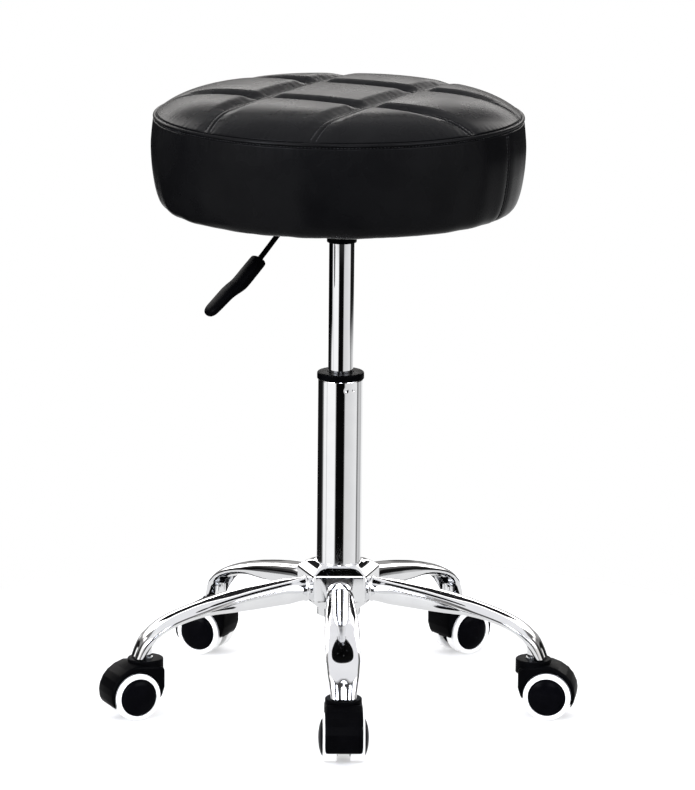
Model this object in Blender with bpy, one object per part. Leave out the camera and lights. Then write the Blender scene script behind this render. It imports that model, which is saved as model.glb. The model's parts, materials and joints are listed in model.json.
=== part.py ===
"""Round rolling salon stool: quilted seat, gas lift and five-leg base on twin-wheel casters.

Run with: blender --background --python part.py
Units are metres, +Z is up, and the origin is on the floor under the centre of the gas lift.
Leg 1 points to -Y and the others follow every 72 degrees.
"""

import math

import bmesh
import bpy
from mathutils import Matrix, Vector

# Seat
SEAT_RADIUS = 0.2066
SEAM_RADIUS = 0.2035
SEAM_Z = 0.6643
SEAT_STEPS = 32
CROWN_HEIGHT = 0.0285
CROWN_POWER = 6.2
COVER_THICKNESS = 0.0040
SEAT_BOTTOM_Z = 0.5600
FLAP_RADIUS = 0.1680
GROOVE_OFFSET = 0.0630
GROOVE_HALF_WIDTH = 0.0035
GROOVE_DEPTH = 0.0024
GROOVE_ANGLE = math.radians(62.0)
SEAT_OFFSET = -0.0045
BOARD_RADIUS = 0.1790
BOARD_THICKNESS = 0.0120
SCREW_CIRCLE = 0.0620
SCREW_ANGLE = math.radians(16.0)

# Gas lift
OUTER_TUBE_RADIUS = 0.0250
OUTER_TUBE_WALL = 0.0015
OUTER_TUBE_TOP = 0.3683
OUTER_TUBE_BOTTOM = 0.0980
BUSH_TOP = 0.3762
INNER_TUBE_RADIUS = 0.0140
INNER_TUBE_TOP = 0.5448
INNER_TUBE_BOTTOM = 0.2500
ROD_RADIUS = 0.0050

# Release lever
LEVER_ANGLE = math.radians(206.0)
LEVER_Z = 0.5515
LEVER_PIVOT_RADIUS = 0.0310
LEVER_ROD_RADIUS = 0.0030
LEVER_BEND = (0.0640, 0.0000)
LEVER_CORNER = (0.0760, -0.0120)
GRIP_TOP = (0.1010, -0.0395)
ROD_END = (0.1240, -0.0637)

# Base
LEG_COUNT = 5
HUB_APOTHEM = 0.0400
HUB_FACE_BOTTOM = 0.1187
HUB_RIM_Z = 0.1520
HUB_BORE = 0.0253
LEG_HUB_Z = 0.1303
LEG_HUB_SLOPE = -0.075
LEG_RADIUS = 0.0135
LEG_WALL = 0.0015
LEG_START = 0.0290
LEG_END_Z = 0.0670
LEG_SIDES = 12
LEG_PATH = [
    (LEG_START, LEG_HUB_Z),
    (0.0430, LEG_HUB_Z + LEG_HUB_SLOPE * 0.0140),
    (0.0700, 0.1270),
    (0.1035, 0.1236),
    (0.1440, 0.1188),
    (0.1755, 0.1130),
    (0.1940, 0.1084),
    (0.2080, 0.1028),
    (0.2180, 0.0962),
    (0.2255, 0.0883),
    (0.2310, 0.0785),
    (0.2350, LEG_END_Z),
]
LEG_HALF_HEIGHTS = [
    (0.0290, 0.0135),
    (0.0600, 0.0133),
    (0.1035, 0.0115),
    (0.1440, 0.0082),
    (0.1755, 0.0062),
    (0.2000, 0.0058),
    (0.2350, 0.0058),
]
LEG_HALF_WIDTHS = [
    (0.0290, 0.0135),
    (0.0415, 0.0136),
    (0.0600, 0.0151),
    (0.0800, 0.0164),
    (0.1035, 0.0176),
    (0.1440, 0.0191),
    (0.1755, 0.0193),
    (0.2080, 0.0185),
    (0.2230, 0.0170),
    (0.2350, 0.0140),
]

# Casters
STEM_CIRCLE = 0.2270
STEM_RADIUS = 0.0050
STEM_BORE_TOP = (0.0, -STEM_CIRCLE, 0.0828)
TRAIL = 0.0175
AXLE_Y = -TRAIL
WHEEL_RADIUS = 0.0265
WHEEL_STEPS = 18
TREAD_INNER_RADIUS = 0.0212
POCKET_RADIUS = 0.0280
HOOD_HALF_WIDTH = 0.0206
WEB_HALF_WIDTH = 0.0055
FLANGE_RADIUS = 0.0200
FLANGE_TOP = 0.0655
SWIVEL_ANGLES = (0.0, 8.4, -18.7, 26.9, 6.4)


def clear_scene():
    for obj in list(bpy.data.objects):
        bpy.data.objects.remove(obj, do_unlink=True)


def make_material(name, colour, roughness, metallic):
    material = bpy.data.materials.new(name)
    material.use_nodes = True
    shader = material.node_tree.nodes["Principled BSDF"]
    shader.inputs["Base Color"].default_value = (*colour, 1.0)
    shader.inputs["Roughness"].default_value = roughness
    shader.inputs["Metallic"].default_value = metallic
    material.diffuse_color = (*colour, 1.0)
    return material


def make_empty(name, location=(0.0, 0.0, 0.0), turn=0.0, parent=None):
    empty = bpy.data.objects.new(name, None)
    empty.location = location
    empty.rotation_euler = (0.0, 0.0, turn)
    empty.parent = parent
    bpy.context.collection.objects.link(empty)
    return empty


def make_mesh(name, bm, smooth_angle=35.0):
    """Close the bmesh off as a mesh with outward faces and smooth round sides."""
    bmesh.ops.recalc_face_normals(bm, faces=bm.faces)
    mesh = bpy.data.meshes.new(name)
    bm.to_mesh(mesh)
    bm.free()
    mesh.shade_smooth()
    mesh.set_sharp_from_angle(angle=math.radians(smooth_angle))
    return mesh


def place(name, mesh, material, parent=None, location=(0.0, 0.0, 0.0), turn=0.0):
    obj = bpy.data.objects.new(name, mesh)
    if not mesh.materials:
        mesh.materials.append(material)
    obj.location = location
    obj.rotation_euler = (0.0, 0.0, turn)
    obj.parent = parent
    bpy.context.collection.objects.link(obj)
    return obj


def spin_profile(profile, steps, axis="Z", closed=True):
    """Turn (radius, height) points around an axis. A closed profile makes a ring,
    an open one starts and ends on the axis."""
    bm = bmesh.new()
    if axis == "Z":
        points = [Vector((radius, 0.0, height)) for radius, height in profile]
        direction = Vector((0.0, 0.0, 1.0))
    else:
        points = [Vector((height, 0.0, -radius)) for radius, height in profile]
        direction = Vector((1.0, 0.0, 0.0))
    verts = [bm.verts.new(point) for point in points]
    edges = [bm.edges.new(pair) for pair in zip(verts, verts[1:])]
    if closed:
        edges.append(bm.edges.new((verts[-1], verts[0])))
    bmesh.ops.spin(
        bm,
        geom=verts + edges,
        cent=(0.0, 0.0, 0.0),
        axis=direction,
        angle=2.0 * math.pi,
        steps=steps,
        use_merge=True,
    )
    bmesh.ops.remove_doubles(bm, verts=bm.verts, dist=0.000005)
    return bm


def turned(name, profile, steps, axis="Z", closed=True):
    return make_mesh(name, spin_profile(profile, steps, axis, closed))


def skin_rings(rings, bm=None):
    """Join rings of points, one after another, into a tube with open ends."""
    bm = bm or bmesh.new()
    loops = [[bm.verts.new(point) for point in ring] for ring in rings]
    for lower, upper in zip(loops, loops[1:]):
        count = len(lower)
        for index in range(count):
            following = (index + 1) % count
            bm.faces.new((lower[index], lower[following], upper[following], upper[index]))
    return bm, loops


def solid_from_rings(name, rings, smooth_angle=35.0):
    bm, loops = skin_rings(rings)
    bm.faces.new(loops[0])
    bm.faces.new(loops[-1])
    return make_mesh(name, bm, smooth_angle)


def bar_along_x(name, outline, low, high):
    """Extrude a closed outline of (y, z) points along X."""
    rings = [[Vector((x, y, z)) for y, z in outline] for x in (low, high)]
    return solid_from_rings(name, rings)


def cylinder(name, radius, start, end, steps=24):
    """A closed cylinder between two points, used as a piece or as a cutter."""
    start = Vector(start)
    end = Vector(end)
    direction = (end - start).normalized()
    side = direction.orthogonal().normalized()
    other = direction.cross(side)
    rings = []
    for centre in (start, end):
        ring = []
        for step in range(steps):
            angle = 2.0 * math.pi * step / steps
            ring.append(centre + radius * (math.cos(angle) * side + math.sin(angle) * other))
        rings.append(ring)
    return solid_from_rings(name, rings)


def combined(name, base_mesh, operations):
    """Apply Boolean modifiers to a mesh, and return the finished mesh.
    Operations are (mode, mesh) pairs."""
    base = bpy.data.objects.new(name, base_mesh)
    bpy.context.collection.objects.link(base)
    tools = []
    for mode, mesh in operations:
        tool = bpy.data.objects.new(name + "_tool", mesh)
        bpy.context.collection.objects.link(tool)
        modifier = base.modifiers.new(mode, "BOOLEAN")
        modifier.operation = mode
        modifier.object = tool
        tools.append(tool)
    depsgraph = bpy.context.evaluated_depsgraph_get()
    finished = bpy.data.meshes.new_from_object(base.evaluated_get(depsgraph))
    finished.name = name
    for obj in [base, *tools]:
        bpy.data.objects.remove(obj, do_unlink=True)
    bm = bmesh.new()
    bm.from_mesh(finished)
    bmesh.ops.remove_doubles(bm, verts=bm.verts, dist=0.000002)
    bpy.data.meshes.remove(finished)
    return make_mesh(name, bm)


def smooth_step(value):
    value = min(max(value, 0.0), 1.0)
    return value * value * (3.0 - 2.0 * value)


def along(table, position):
    """Read a value at a position from (position, value) pairs, in a straight line between."""
    for (low, first), (high, second) in zip(table, table[1:]):
        if position <= high:
            share = max((position - low) / (high - low), 0.0)
            return first + share * (second - first)
    return table[-1][1]


# ---------------------------------------------------------------- seat


def crown_z(radius, drop=0.0):
    """Height of the seat's top at a radius: nearly flat, and falling off at the seam."""
    share = min(radius / SEAM_RADIUS, 1.0)
    return SEAM_Z + CROWN_HEIGHT * (1.0 - share**CROWN_POWER) - drop


def make_top_panel():
    """The quilted top of the cover: a crowned sheet with four stitched grooves."""
    rim = SEAM_RADIUS - COVER_THICKNESS
    outer = []
    for share in (0.0, 0.40, 0.70, 0.83, 0.91, 0.965, 1.0):
        outer.append((share * SEAM_RADIUS, crown_z(share * SEAM_RADIUS)))
    inner = [(rim, SEAM_Z)]
    for share in (0.91, 0.80, 0.60, 0.0):
        inner.append((share * rim, max(crown_z(share * rim, COVER_THICKNESS), SEAM_Z)))
    bm = spin_profile(outer + inner, SEAT_STEPS, closed=False)
    bmesh.ops.recalc_face_normals(bm, faces=bm.faces)
    for turn in (GROOVE_ANGLE, GROOVE_ANGLE + math.pi / 2.0):
        normal = Vector((-math.sin(turn), math.cos(turn), 0.0))
        for side in (-1.0, 1.0):
            for step in (-1.0, 0.0, 1.0):
                offset = side * GROOVE_OFFSET + step * GROOVE_HALF_WIDTH
                faces = [face for face in bm.faces if face.normal.z > 0.2]
                edges = {edge for face in faces for edge in face.edges}
                verts = {vert for face in faces for vert in face.verts}
                bmesh.ops.bisect_plane(
                    bm,
                    geom=list(verts) + list(edges) + faces,
                    dist=0.00001,
                    plane_co=normal * offset,
                    plane_no=normal,
                )
    bm.normal_update()
    top_faces = [face for face in bm.faces if face.normal.z > 0.2]
    for vert in {vert for face in top_faces for vert in face.verts}:
        share = math.hypot(vert.co.x, vert.co.y) / SEAM_RADIUS
        depth = 0.0
        for turn in (GROOVE_ANGLE, GROOVE_ANGLE + math.pi / 2.0):
            distance = abs(-math.sin(turn) * vert.co.x + math.cos(turn) * vert.co.y)
            near = 1.0 - abs(distance - GROOVE_OFFSET) / GROOVE_HALF_WIDTH
            depth = max(depth, near)
        if depth > 0.0:
            vert.co.z -= GROOVE_DEPTH * depth * smooth_step((1.0 - share) * 12.0)
    return make_mesh("seat_top_panel", bm, 60.0)


def make_side_band():
    """The side of the cover, bulging under the seam and tucked under the board."""
    outer = [
        (SEAM_RADIUS, SEAM_Z - 0.0003),
        (SEAT_RADIUS - 0.0010, 0.6474),
        (SEAT_RADIUS, 0.6320),
        (SEAT_RADIUS - 0.0007, 0.6140),
        (SEAT_RADIUS - 0.0058, 0.5820),
        (SEAT_RADIUS - 0.0093, 0.5700),
        (SEAT_RADIUS - 0.0150, 0.5640),
        (SEAT_RADIUS - 0.0240, SEAT_BOTTOM_Z),
        (FLAP_RADIUS, SEAT_BOTTOM_Z),
    ]
    wall = COVER_THICKNESS
    inner = [
        (FLAP_RADIUS, SEAT_BOTTOM_Z + wall),
        (SEAT_RADIUS - 0.0240, SEAT_BOTTOM_Z + wall),
        (SEAT_RADIUS - 0.0133, 0.5713),
        (SEAT_RADIUS - 0.0098, 0.5825),
        (SEAT_RADIUS - 0.0007 - wall, 0.6140),
        (SEAT_RADIUS - 0.0010 - wall, 0.6474),
        (SEAM_RADIUS - wall, SEAM_Z - 0.0003),
    ]
    return turned("seat_side_band", outer + inner, SEAT_STEPS)


def make_foam():
    low = SEAT_BOTTOM_Z + COVER_THICKNESS + BOARD_THICKNESS + 0.0008
    radius = SEAT_RADIUS - COVER_THICKNESS
    gap = 0.0008
    profile = [(0.0, low), (radius - 0.0090, low), (radius - 0.0007 - gap, 0.6140)]
    profile.append((radius - 0.0010 - gap, 0.6474))
    profile.append((SEAM_RADIUS - COVER_THICKNESS - gap, SEAM_Z - 0.0020))
    for share in (0.91, 0.80, 0.60, 0.0):
        ring = share * (SEAM_RADIUS - COVER_THICKNESS)
        profile.append((ring, max(crown_z(ring, COVER_THICKNESS), SEAM_Z) - gap))
    return turned("seat_foam", profile, SEAT_STEPS, closed=False)


def screw_points():
    for index in range(4):
        angle = SCREW_ANGLE + index * math.pi / 2.0
        yield SCREW_CIRCLE * math.cos(angle), SCREW_CIRCLE * math.sin(angle)


def make_board():
    low = SEAT_BOTTOM_Z + COVER_THICKNESS + 0.0004
    high = low + BOARD_THICKNESS
    profile = [(0.0225, low), (BOARD_RADIUS, low), (BOARD_RADIUS, high), (0.0225, high)]
    holes = []
    for x, y in screw_points():
        start = (x - SEAT_OFFSET, y, low - 0.01)
        end = (x - SEAT_OFFSET, y, high + 0.01)
        holes.append(("DIFFERENCE", cylinder("hole", 0.0028, start, end, 8)))
    return combined("seat_board", turned("board", profile, SEAT_STEPS), holes)


def make_mounting_plate():
    """Pressed steel plate: a flange under the board, a dish for the lever, a socket for the lift."""
    profile = [
        (0.0820, 0.5641),
        (0.0820, 0.5611),
        (0.0370, 0.5611),
        (0.0340, 0.5590),
        (0.0330, 0.5408),
        (0.0166, 0.5400),
        (0.0166, 0.5236),
        (0.0156, 0.5224),
        (0.0145, 0.5224),
        (0.0145, 0.5444),
        (0.0300, 0.5444),
        (0.0345, 0.5641),
    ]
    cuts = []
    for x, y in screw_points():
        cuts.append(("DIFFERENCE", cylinder("hole", 0.0027, (x, y, 0.55), (x, y, 0.57), 8)))
    opening = [(-0.0036, 0.5478), (0.0036, 0.5478), (0.0036, 0.5552), (-0.0036, 0.5552)]
    slot = bar_along_x("slot", opening, 0.0255, 0.0450)
    slot.transform(Matrix.Rotation(LEVER_ANGLE, 4, "Z"))
    cuts.append(("DIFFERENCE", slot))
    return combined("mounting_plate", turned("plate", profile, 20), cuts)


def make_screw():
    """Pan-head screw standing on its head, with its origin at the plate's lower face."""
    profile = [
        (0.0, -0.0030),
        (0.0036, -0.0024),
        (0.0048, -0.0003),
        (0.0023, -0.0003),
        (0.0023, 0.0125),
        (0.0, 0.0140),
    ]
    return turned("mounting_screw", profile, 10, closed=False)


# ---------------------------------------------------------------- lever


def lever_frame(points, index):
    before = Vector(points[max(index - 1, 0)])
    after = Vector(points[min(index + 1, len(points) - 1)])
    forward = (after - before).normalized()
    return Vector((-forward.y, forward.x))


def sweep_lever(name, points, half_widths, half_heights, steps, power=1.0):
    """Sweep an oval along (reach, height) points in the lever's own XZ plane."""
    rings = []
    for index, (reach, height) in enumerate(points):
        normal = lever_frame(points, index)
        ring = []
        for step in range(steps):
            angle = 2.0 * math.pi * (step + 0.5) / steps
            across = math.copysign(abs(math.cos(angle)) ** power, math.cos(angle))
            up = math.copysign(abs(math.sin(angle)) ** power, math.sin(angle))
            rise = half_heights[index] * up
            side = half_widths[index] * across
            ring.append(Vector((reach + normal.x * rise, side, height + normal.y * rise)))
        rings.append(ring)
    return solid_from_rings(name, rings, 50.0)


def lever_point(point):
    """Lever points are written from the lift's axis, and its origin is on the pivot."""
    return (point[0] - LEVER_PIVOT_RADIUS, point[1])


def make_lever_rod():
    bend = [
        (LEVER_BEND[0] + 0.0050, -0.0012),
        (LEVER_BEND[0] + 0.0090, -0.0048),
    ]
    path = [(-0.0030, 0.0), (0.0300, 0.0), LEVER_BEND, *bend, LEVER_CORNER, GRIP_TOP, ROD_END]
    points = [lever_point(point) for point in path]
    sizes = [LEVER_ROD_RADIUS] * len(points)
    return sweep_lever("lever_rod", points, sizes, sizes, 10)


def make_lever_grip():
    """Flat plastic paddle with a step in its length, pushed over the end of the rod."""
    path = [
        (0.1010, -0.0395),
        (0.1024, -0.0411),
        (0.1146, -0.0539),
        (0.1240, -0.0637),
        (0.1343, -0.0708),
        (0.1446, -0.0785),
        (0.1602, -0.0925),
        (0.1632, -0.0955),
        (0.1650, -0.0975),
    ]
    half_widths = [0.0095, 0.0120, 0.0125, 0.0125, 0.0125, 0.0125, 0.0110, 0.0080, 0.0040]
    half_heights = [0.0052, 0.0066, 0.0070, 0.0070, 0.0062, 0.0053, 0.0049, 0.0038, 0.0020]
    points = [lever_point(point) for point in path]
    solid = sweep_lever("grip", points, half_widths, half_heights, 12, 0.7)
    start = Vector((*lever_point(GRIP_TOP), 0.0)).xzy
    end = Vector((*lever_point(ROD_END), 0.0)).xzy
    along_rod = (end - start).normalized()
    bore = cylinder("bore", 0.0034, start - 0.01 * along_rod, end + 0.0008 * along_rod, 12)
    return combined("lever_grip", solid, [("DIFFERENCE", bore)])


# ---------------------------------------------------------------- gas lift


def make_stand_tube():
    """Outer tube: open top, tapered foot and a floor with a hole for the piston rod."""
    radius = OUTER_TUBE_RADIUS
    wall = OUTER_TUBE_WALL
    foot = OUTER_TUBE_BOTTOM
    profile = [
        (radius, OUTER_TUBE_TOP),
        (radius, HUB_RIM_Z + 0.0050),
        (radius - 0.0008, foot),
        (0.0056, foot),
        (0.0056, foot + 0.0030),
        (radius - 0.0008 - wall, foot + 0.0030),
        (radius - wall, HUB_RIM_Z + 0.0050),
        (radius - wall, OUTER_TUBE_TOP),
    ]
    return turned("stand_tube", profile, 24)


def make_guide_bush():
    """Plastic sleeve in the stand tube's mouth, with the lip that shows above it."""
    inside = INNER_TUBE_RADIUS + 0.0004
    sleeve = OUTER_TUBE_RADIUS - OUTER_TUBE_WALL - 0.0003
    low = OUTER_TUBE_TOP + 0.0003
    profile = [
        (inside, BUSH_TOP),
        (OUTER_TUBE_RADIUS - 0.0002, BUSH_TOP),
        (OUTER_TUBE_RADIUS + 0.0012, BUSH_TOP - 0.0014),
        (OUTER_TUBE_RADIUS + 0.0012, low),
        (sleeve, low),
        (sleeve, OUTER_TUBE_TOP - 0.0700),
        (inside, OUTER_TUBE_TOP - 0.0700),
    ]
    return turned("guide_bush", profile, 24)


def make_pressure_tube():
    """Sliding chrome tube: hollow, with the rod's seal at the bottom and the valve bore on top."""
    radius = INNER_TUBE_RADIUS
    low = INNER_TUBE_BOTTOM
    high = INNER_TUBE_TOP
    profile = [
        (radius, high - 0.0010),
        (radius, low),
        (0.0054, low),
        (0.0054, low + 0.0060),
        (radius - 0.0012, low + 0.0060),
        (radius - 0.0012, high - 0.0060),
        (0.0034, high - 0.0060),
        (0.0034, high),
        (radius - 0.0010, high),
    ]
    return turned("pressure_tube", profile, 20)


def make_piston_rod():
    foot = OUTER_TUBE_BOTTOM - 0.0080
    seal = INNER_TUBE_BOTTOM + 0.0080
    piston = INNER_TUBE_RADIUS - 0.0016
    profile = [
        (0.0, foot),
        (ROD_RADIUS, foot),
        (ROD_RADIUS, foot + 0.0034),
        (ROD_RADIUS - 0.0008, foot + 0.0036),
        (ROD_RADIUS - 0.0008, foot + 0.0054),
        (ROD_RADIUS, foot + 0.0056),
        (ROD_RADIUS, seal),
        (piston, seal),
        (piston, seal + 0.0140),
        (0.0, seal + 0.0140),
    ]
    return turned("piston_rod", profile, 14, closed=False)


def make_retaining_clip():
    """Open spring ring in the piston rod's groove, under the stand tube's floor."""
    middle = OUTER_TUBE_BOTTOM - 0.0080 + 0.0045
    steps = 10
    gap = math.radians(50.0)
    rings = []
    for step in range(steps + 1):
        angle = gap / 2.0 + (2.0 * math.pi - gap) * step / steps
        out = Vector((math.cos(angle), math.sin(angle), 0.0))
        ring = []
        for radius, side in ((0.0045, -1.0), (0.0088, -1.0), (0.0088, 1.0), (0.0045, 1.0)):
            ring.append(out * radius + Vector((0.0, 0.0, middle + side * 0.0006)))
        rings.append(ring)
    return solid_from_rings("retaining_clip", rings)


def make_thrust_bearing():
    low = OUTER_TUBE_BOTTOM + 0.0033
    profile = [(0.0056, low), (0.0130, low), (0.0130, low + 0.0075), (0.0056, low + 0.0075)]
    return turned("thrust_bearing", profile, 18)


def make_valve_pin():
    """Valve button of the lift, origin on its top face."""
    profile = [
        (0.0, 0.0),
        (0.0029, 0.0),
        (0.0029, -0.0098),
        (0.0048, -0.0098),
        (0.0048, -0.0125),
        (0.0, -0.0125),
    ]
    return turned("valve_pin", list(reversed(profile)), 12, closed=False)


# ---------------------------------------------------------------- base


def leg_ring(index, wall=0.0):
    """One cross-section of leg 1, which runs along -Y."""
    reach, height = LEG_PATH[index]
    half_height = along(LEG_HALF_HEIGHTS, reach) - wall
    half_width = along(LEG_HALF_WIDTHS, reach) - wall
    before = Vector(LEG_PATH[max(index - 1, 0)])
    after = Vector(LEG_PATH[min(index + 1, len(LEG_PATH) - 1)])
    forward = (after - before).normalized()
    normal = Vector((-forward.y, forward.x))
    if index == len(LEG_PATH) - 1:
        normal = Vector((1.0, 0.0))
    crease = 0.0 if wall else 0.0012 * smooth_step((reach - 0.195) / 0.02)
    power = 1.0 - 0.18 * smooth_step((reach - 0.10) / 0.08)
    ring = []
    for step in range(LEG_SIDES):
        angle = 2.0 * math.pi * step / LEG_SIDES + math.pi / 2.0
        across = math.copysign(abs(math.cos(angle)) ** power, math.cos(angle))
        up = math.copysign(abs(math.sin(angle)) ** power, math.sin(angle))
        rise = half_height * up
        if step == 0:
            rise -= crease
        side = half_width * across
        ring.append(Vector((side, -(reach + normal.x * rise), height + normal.y * rise)))
    return ring


def make_leg():
    """Leg 1: a round tube from the hub, pressed flat and folded into a channel over the
    caster's stem, with the stem's sleeve welded into the channel."""
    bm, outer = skin_rings([leg_ring(index) for index in range(len(LEG_PATH))])
    bm, inner = skin_rings([leg_ring(index, LEG_WALL) for index in (0, 1, 2, 4, 6)], bm)
    bm.faces.new(outer[-1])
    bm.faces.new(inner[-1])
    for step in range(LEG_SIDES):
        following = (step + 1) % LEG_SIDES
        bm.faces.new((outer[0][step], outer[0][following], inner[0][following], inner[0][step]))
    tube = make_mesh("tube", bm)
    channel_side = [
        (-0.2000, 0.0550),
        (-0.2378, 0.0550),
        (-0.2378, 0.0670),
        (-0.2350, 0.0760),
        (-0.2305, 0.0850),
        (-0.2268, 0.0900),
        (-0.2000, 0.0900),
    ]
    channel = bar_along_x("channel", channel_side, -0.0095, 0.0095)
    sleeve_foot = (0.0, -STEM_CIRCLE, LEG_END_Z + 0.0004)
    sleeve_top = (0.0, -STEM_CIRCLE, 0.0895)
    sleeve = cylinder("sleeve", 0.0073, sleeve_foot, sleeve_top, 14)
    for vert in sleeve.vertices:
        if vert.co.z > 0.0800:
            vert.co.z += 1.2 * (STEM_CIRCLE + vert.co.y)
    bore = cylinder("bore", STEM_RADIUS + 0.0004, (0.0, -STEM_CIRCLE, 0.0500), STEM_BORE_TOP, 12)
    steps = [("DIFFERENCE", channel), ("UNION", sleeve), ("DIFFERENCE", bore)]
    return combined("leg", tube, steps)


def pentagon(apothem, level):
    """Five corners, with a flat side facing each leg."""
    reach = apothem / math.cos(math.pi / LEG_COUNT)
    ring = []
    for index in range(LEG_COUNT):
        angle = -math.pi / 2.0 + (index + 0.5) * 2.0 * math.pi / LEG_COUNT
        ring.append(Vector((reach * math.cos(angle), reach * math.sin(angle), level)))
    return ring


def make_hub():
    levels = [
        (HUB_APOTHEM - 0.0110, 0.1098),
        (HUB_APOTHEM, HUB_FACE_BOTTOM),
        (HUB_APOTHEM, HUB_RIM_Z),
        (HUB_APOTHEM - 0.0110, HUB_RIM_Z + 0.0033),
    ]
    bm, loops = skin_rings([pentagon(apothem, level) for apothem, level in levels])
    bm.faces.new(loops[0])
    bm.faces.new(loops[-1])
    bmesh.ops.recalc_face_normals(bm, faces=bm.faces)
    corners = [edge for edge in bm.edges if abs(edge.verts[0].co.z - edge.verts[1].co.z) > 0.001]
    bmesh.ops.bevel(bm, geom=corners, offset=0.0050, segments=2, profile=0.5, affect="EDGES")
    rims = [
        edge for edge in bm.edges
        if all(abs(vert.co.z - HUB_RIM_Z) < 0.0001 for vert in edge.verts)
        or all(abs(vert.co.z - HUB_FACE_BOTTOM) < 0.0001 for vert in edge.verts)
    ]
    bmesh.ops.bevel(bm, geom=rims, offset=0.0012, segments=1, profile=0.5, affect="EDGES")
    body = make_mesh("hub_body", bm)
    lip = cylinder("lip", 0.0275, (0.0, 0.0, 0.1400), (0.0, 0.0, 0.1568), 24)
    taper = [
        (0.0, 0.1000),
        (HUB_BORE - 0.0006, 0.1000),
        (HUB_BORE, HUB_RIM_Z + 0.0045),
        (HUB_BORE, 0.1700),
        (0.0, 0.1700),
    ]
    steps = [("UNION", lip), ("DIFFERENCE", turned("bore", taper, 24, closed=False))]
    for index in range(LEG_COUNT):
        start = Vector((0.0, -(LEG_START - 0.0006), LEG_HUB_Z - 0.0006 * LEG_HUB_SLOPE))
        end = Vector((0.0, -0.0600, LEG_HUB_Z + (0.0600 - LEG_START) * LEG_HUB_SLOPE))
        mouth = cylinder("mouth", LEG_RADIUS + 0.0006, start, end, 20)
        mouth.transform(Matrix.Rotation(2.0 * math.pi * index / LEG_COUNT, 4, "Z"))
        steps.append(("DIFFERENCE", mouth))
    return combined("hub", body, steps)


# ---------------------------------------------------------------- casters


def make_hood():
    """Caster body: a web between the wheels, guards over them and a round flange on top.
    Its origin is on the stem's axis at floor level, and it points to -Y."""
    side = [
        (-0.0154, 0.0580),
        (-0.0154, 0.0350),
        (-0.0125, 0.0260),
        (-0.0087, 0.0200),
        (0.0175, 0.0150),
        (0.0440, 0.0145),
        (0.0475, 0.0215),
        (0.0485, 0.0300),
        (0.0474, 0.0370),
        (0.0436, 0.0455),
        (0.0381, 0.0522),
        (0.0295, 0.0580),
        (0.0189, 0.0618),
    ]
    outline = [(-reach, height) for reach, height in side]
    cheeks = (-HOOD_HALF_WIDTH, HOOD_HALF_WIDTH)
    bm, loops = skin_rings([[Vector((x, y, z)) for y, z in outline] for x in cheeks])
    bm.faces.new(loops[0])
    bm.faces.new(loops[-1])
    bmesh.ops.recalc_face_normals(bm, faces=bm.faces)
    rims = [edge for edge in bm.edges if abs(edge.verts[0].co.x - edge.verts[1].co.x) < 0.0001]
    bmesh.ops.bevel(bm, geom=rims, offset=0.0015, segments=1, profile=0.5, affect="EDGES")
    body = make_mesh("hood_body", bm)
    flange_profile = [
        (0.0, 0.0520),
        (FLANGE_RADIUS, 0.0520),
        (FLANGE_RADIUS, FLANGE_TOP - 0.0012),
        (FLANGE_RADIUS - 0.0012, FLANGE_TOP),
        (0.0, FLANGE_TOP),
    ]
    flange = turned("flange", flange_profile, 16, closed=False)
    steps = [("UNION", flange)]
    for sign in (-1.0, 1.0):
        start = (sign * WEB_HALF_WIDTH, AXLE_Y, WHEEL_RADIUS)
        end = (sign * (HOOD_HALF_WIDTH + 0.005), AXLE_Y, WHEEL_RADIUS)
        steps.append(("DIFFERENCE", cylinder("pocket", POCKET_RADIUS, start, end, 18)))
    stem_hole = cylinder("stem_hole", STEM_RADIUS + 0.0004, (0.0, 0.0, 0.0400), (0.0, 0.0, 0.0800), 12)
    axle_ends = ((-0.02, AXLE_Y, WHEEL_RADIUS), (0.02, AXLE_Y, WHEEL_RADIUS))
    axle_hole = cylinder("axle_hole", 0.0034, *axle_ends, 10)
    steps.append(("DIFFERENCE", stem_hole))
    steps.append(("DIFFERENCE", axle_hole))
    return combined("caster_hood", body, steps)


def make_stem():
    profile = [
        (0.0, 0.0405),
        (STEM_RADIUS, 0.0405),
        (STEM_RADIUS, FLANGE_TOP + 0.0003),
        (0.0085, FLANGE_TOP + 0.0003),
        (0.0085, FLANGE_TOP + 0.0012),
        (STEM_RADIUS, FLANGE_TOP + 0.0012),
        (STEM_RADIUS, 0.0818),
        (0.0, 0.0818),
    ]
    return turned("caster_stem", profile, 10, closed=False)


def make_axle():
    profile = [(0.0, -0.0190), (0.0030, -0.0190), (0.0030, 0.0190), (0.0, 0.0190)]
    return turned("caster_axle", profile, 10, axis="X", closed=False)


def make_wheel_core(sign):
    """Wheel body and domed cap in one moulding, bored from the inner side for the axle."""
    profile = [
        (0.0, 0.0275),
        (0.0110, 0.0267),
        (0.0185, 0.0243),
        (0.0209, 0.0224),
        (0.0209, 0.0066),
        (0.0034, 0.0062),
        (0.0034, 0.0195),
        (0.0, 0.0195),
    ]
    points = [(radius, sign * reach) for radius, reach in profile]
    return turned("wheel_core", points, WHEEL_STEPS, axis="X", closed=False)


def make_tread(sign):
    """Soft white tyre ring around the wheel body."""
    inside = TREAD_INNER_RADIUS
    profile = [
        (inside, 0.0072),
        (WHEEL_RADIUS - 0.0012, 0.0072),
        (WHEEL_RADIUS, 0.0088),
        (WHEEL_RADIUS, 0.0206),
        (WHEEL_RADIUS - 0.0020, 0.0227),
        (inside, 0.0227),
    ]
    points = [(radius, sign * reach) for radius, reach in profile]
    return turned("wheel_tread", points, WHEEL_STEPS, axis="X")


# ---------------------------------------------------------------- assembly


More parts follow.
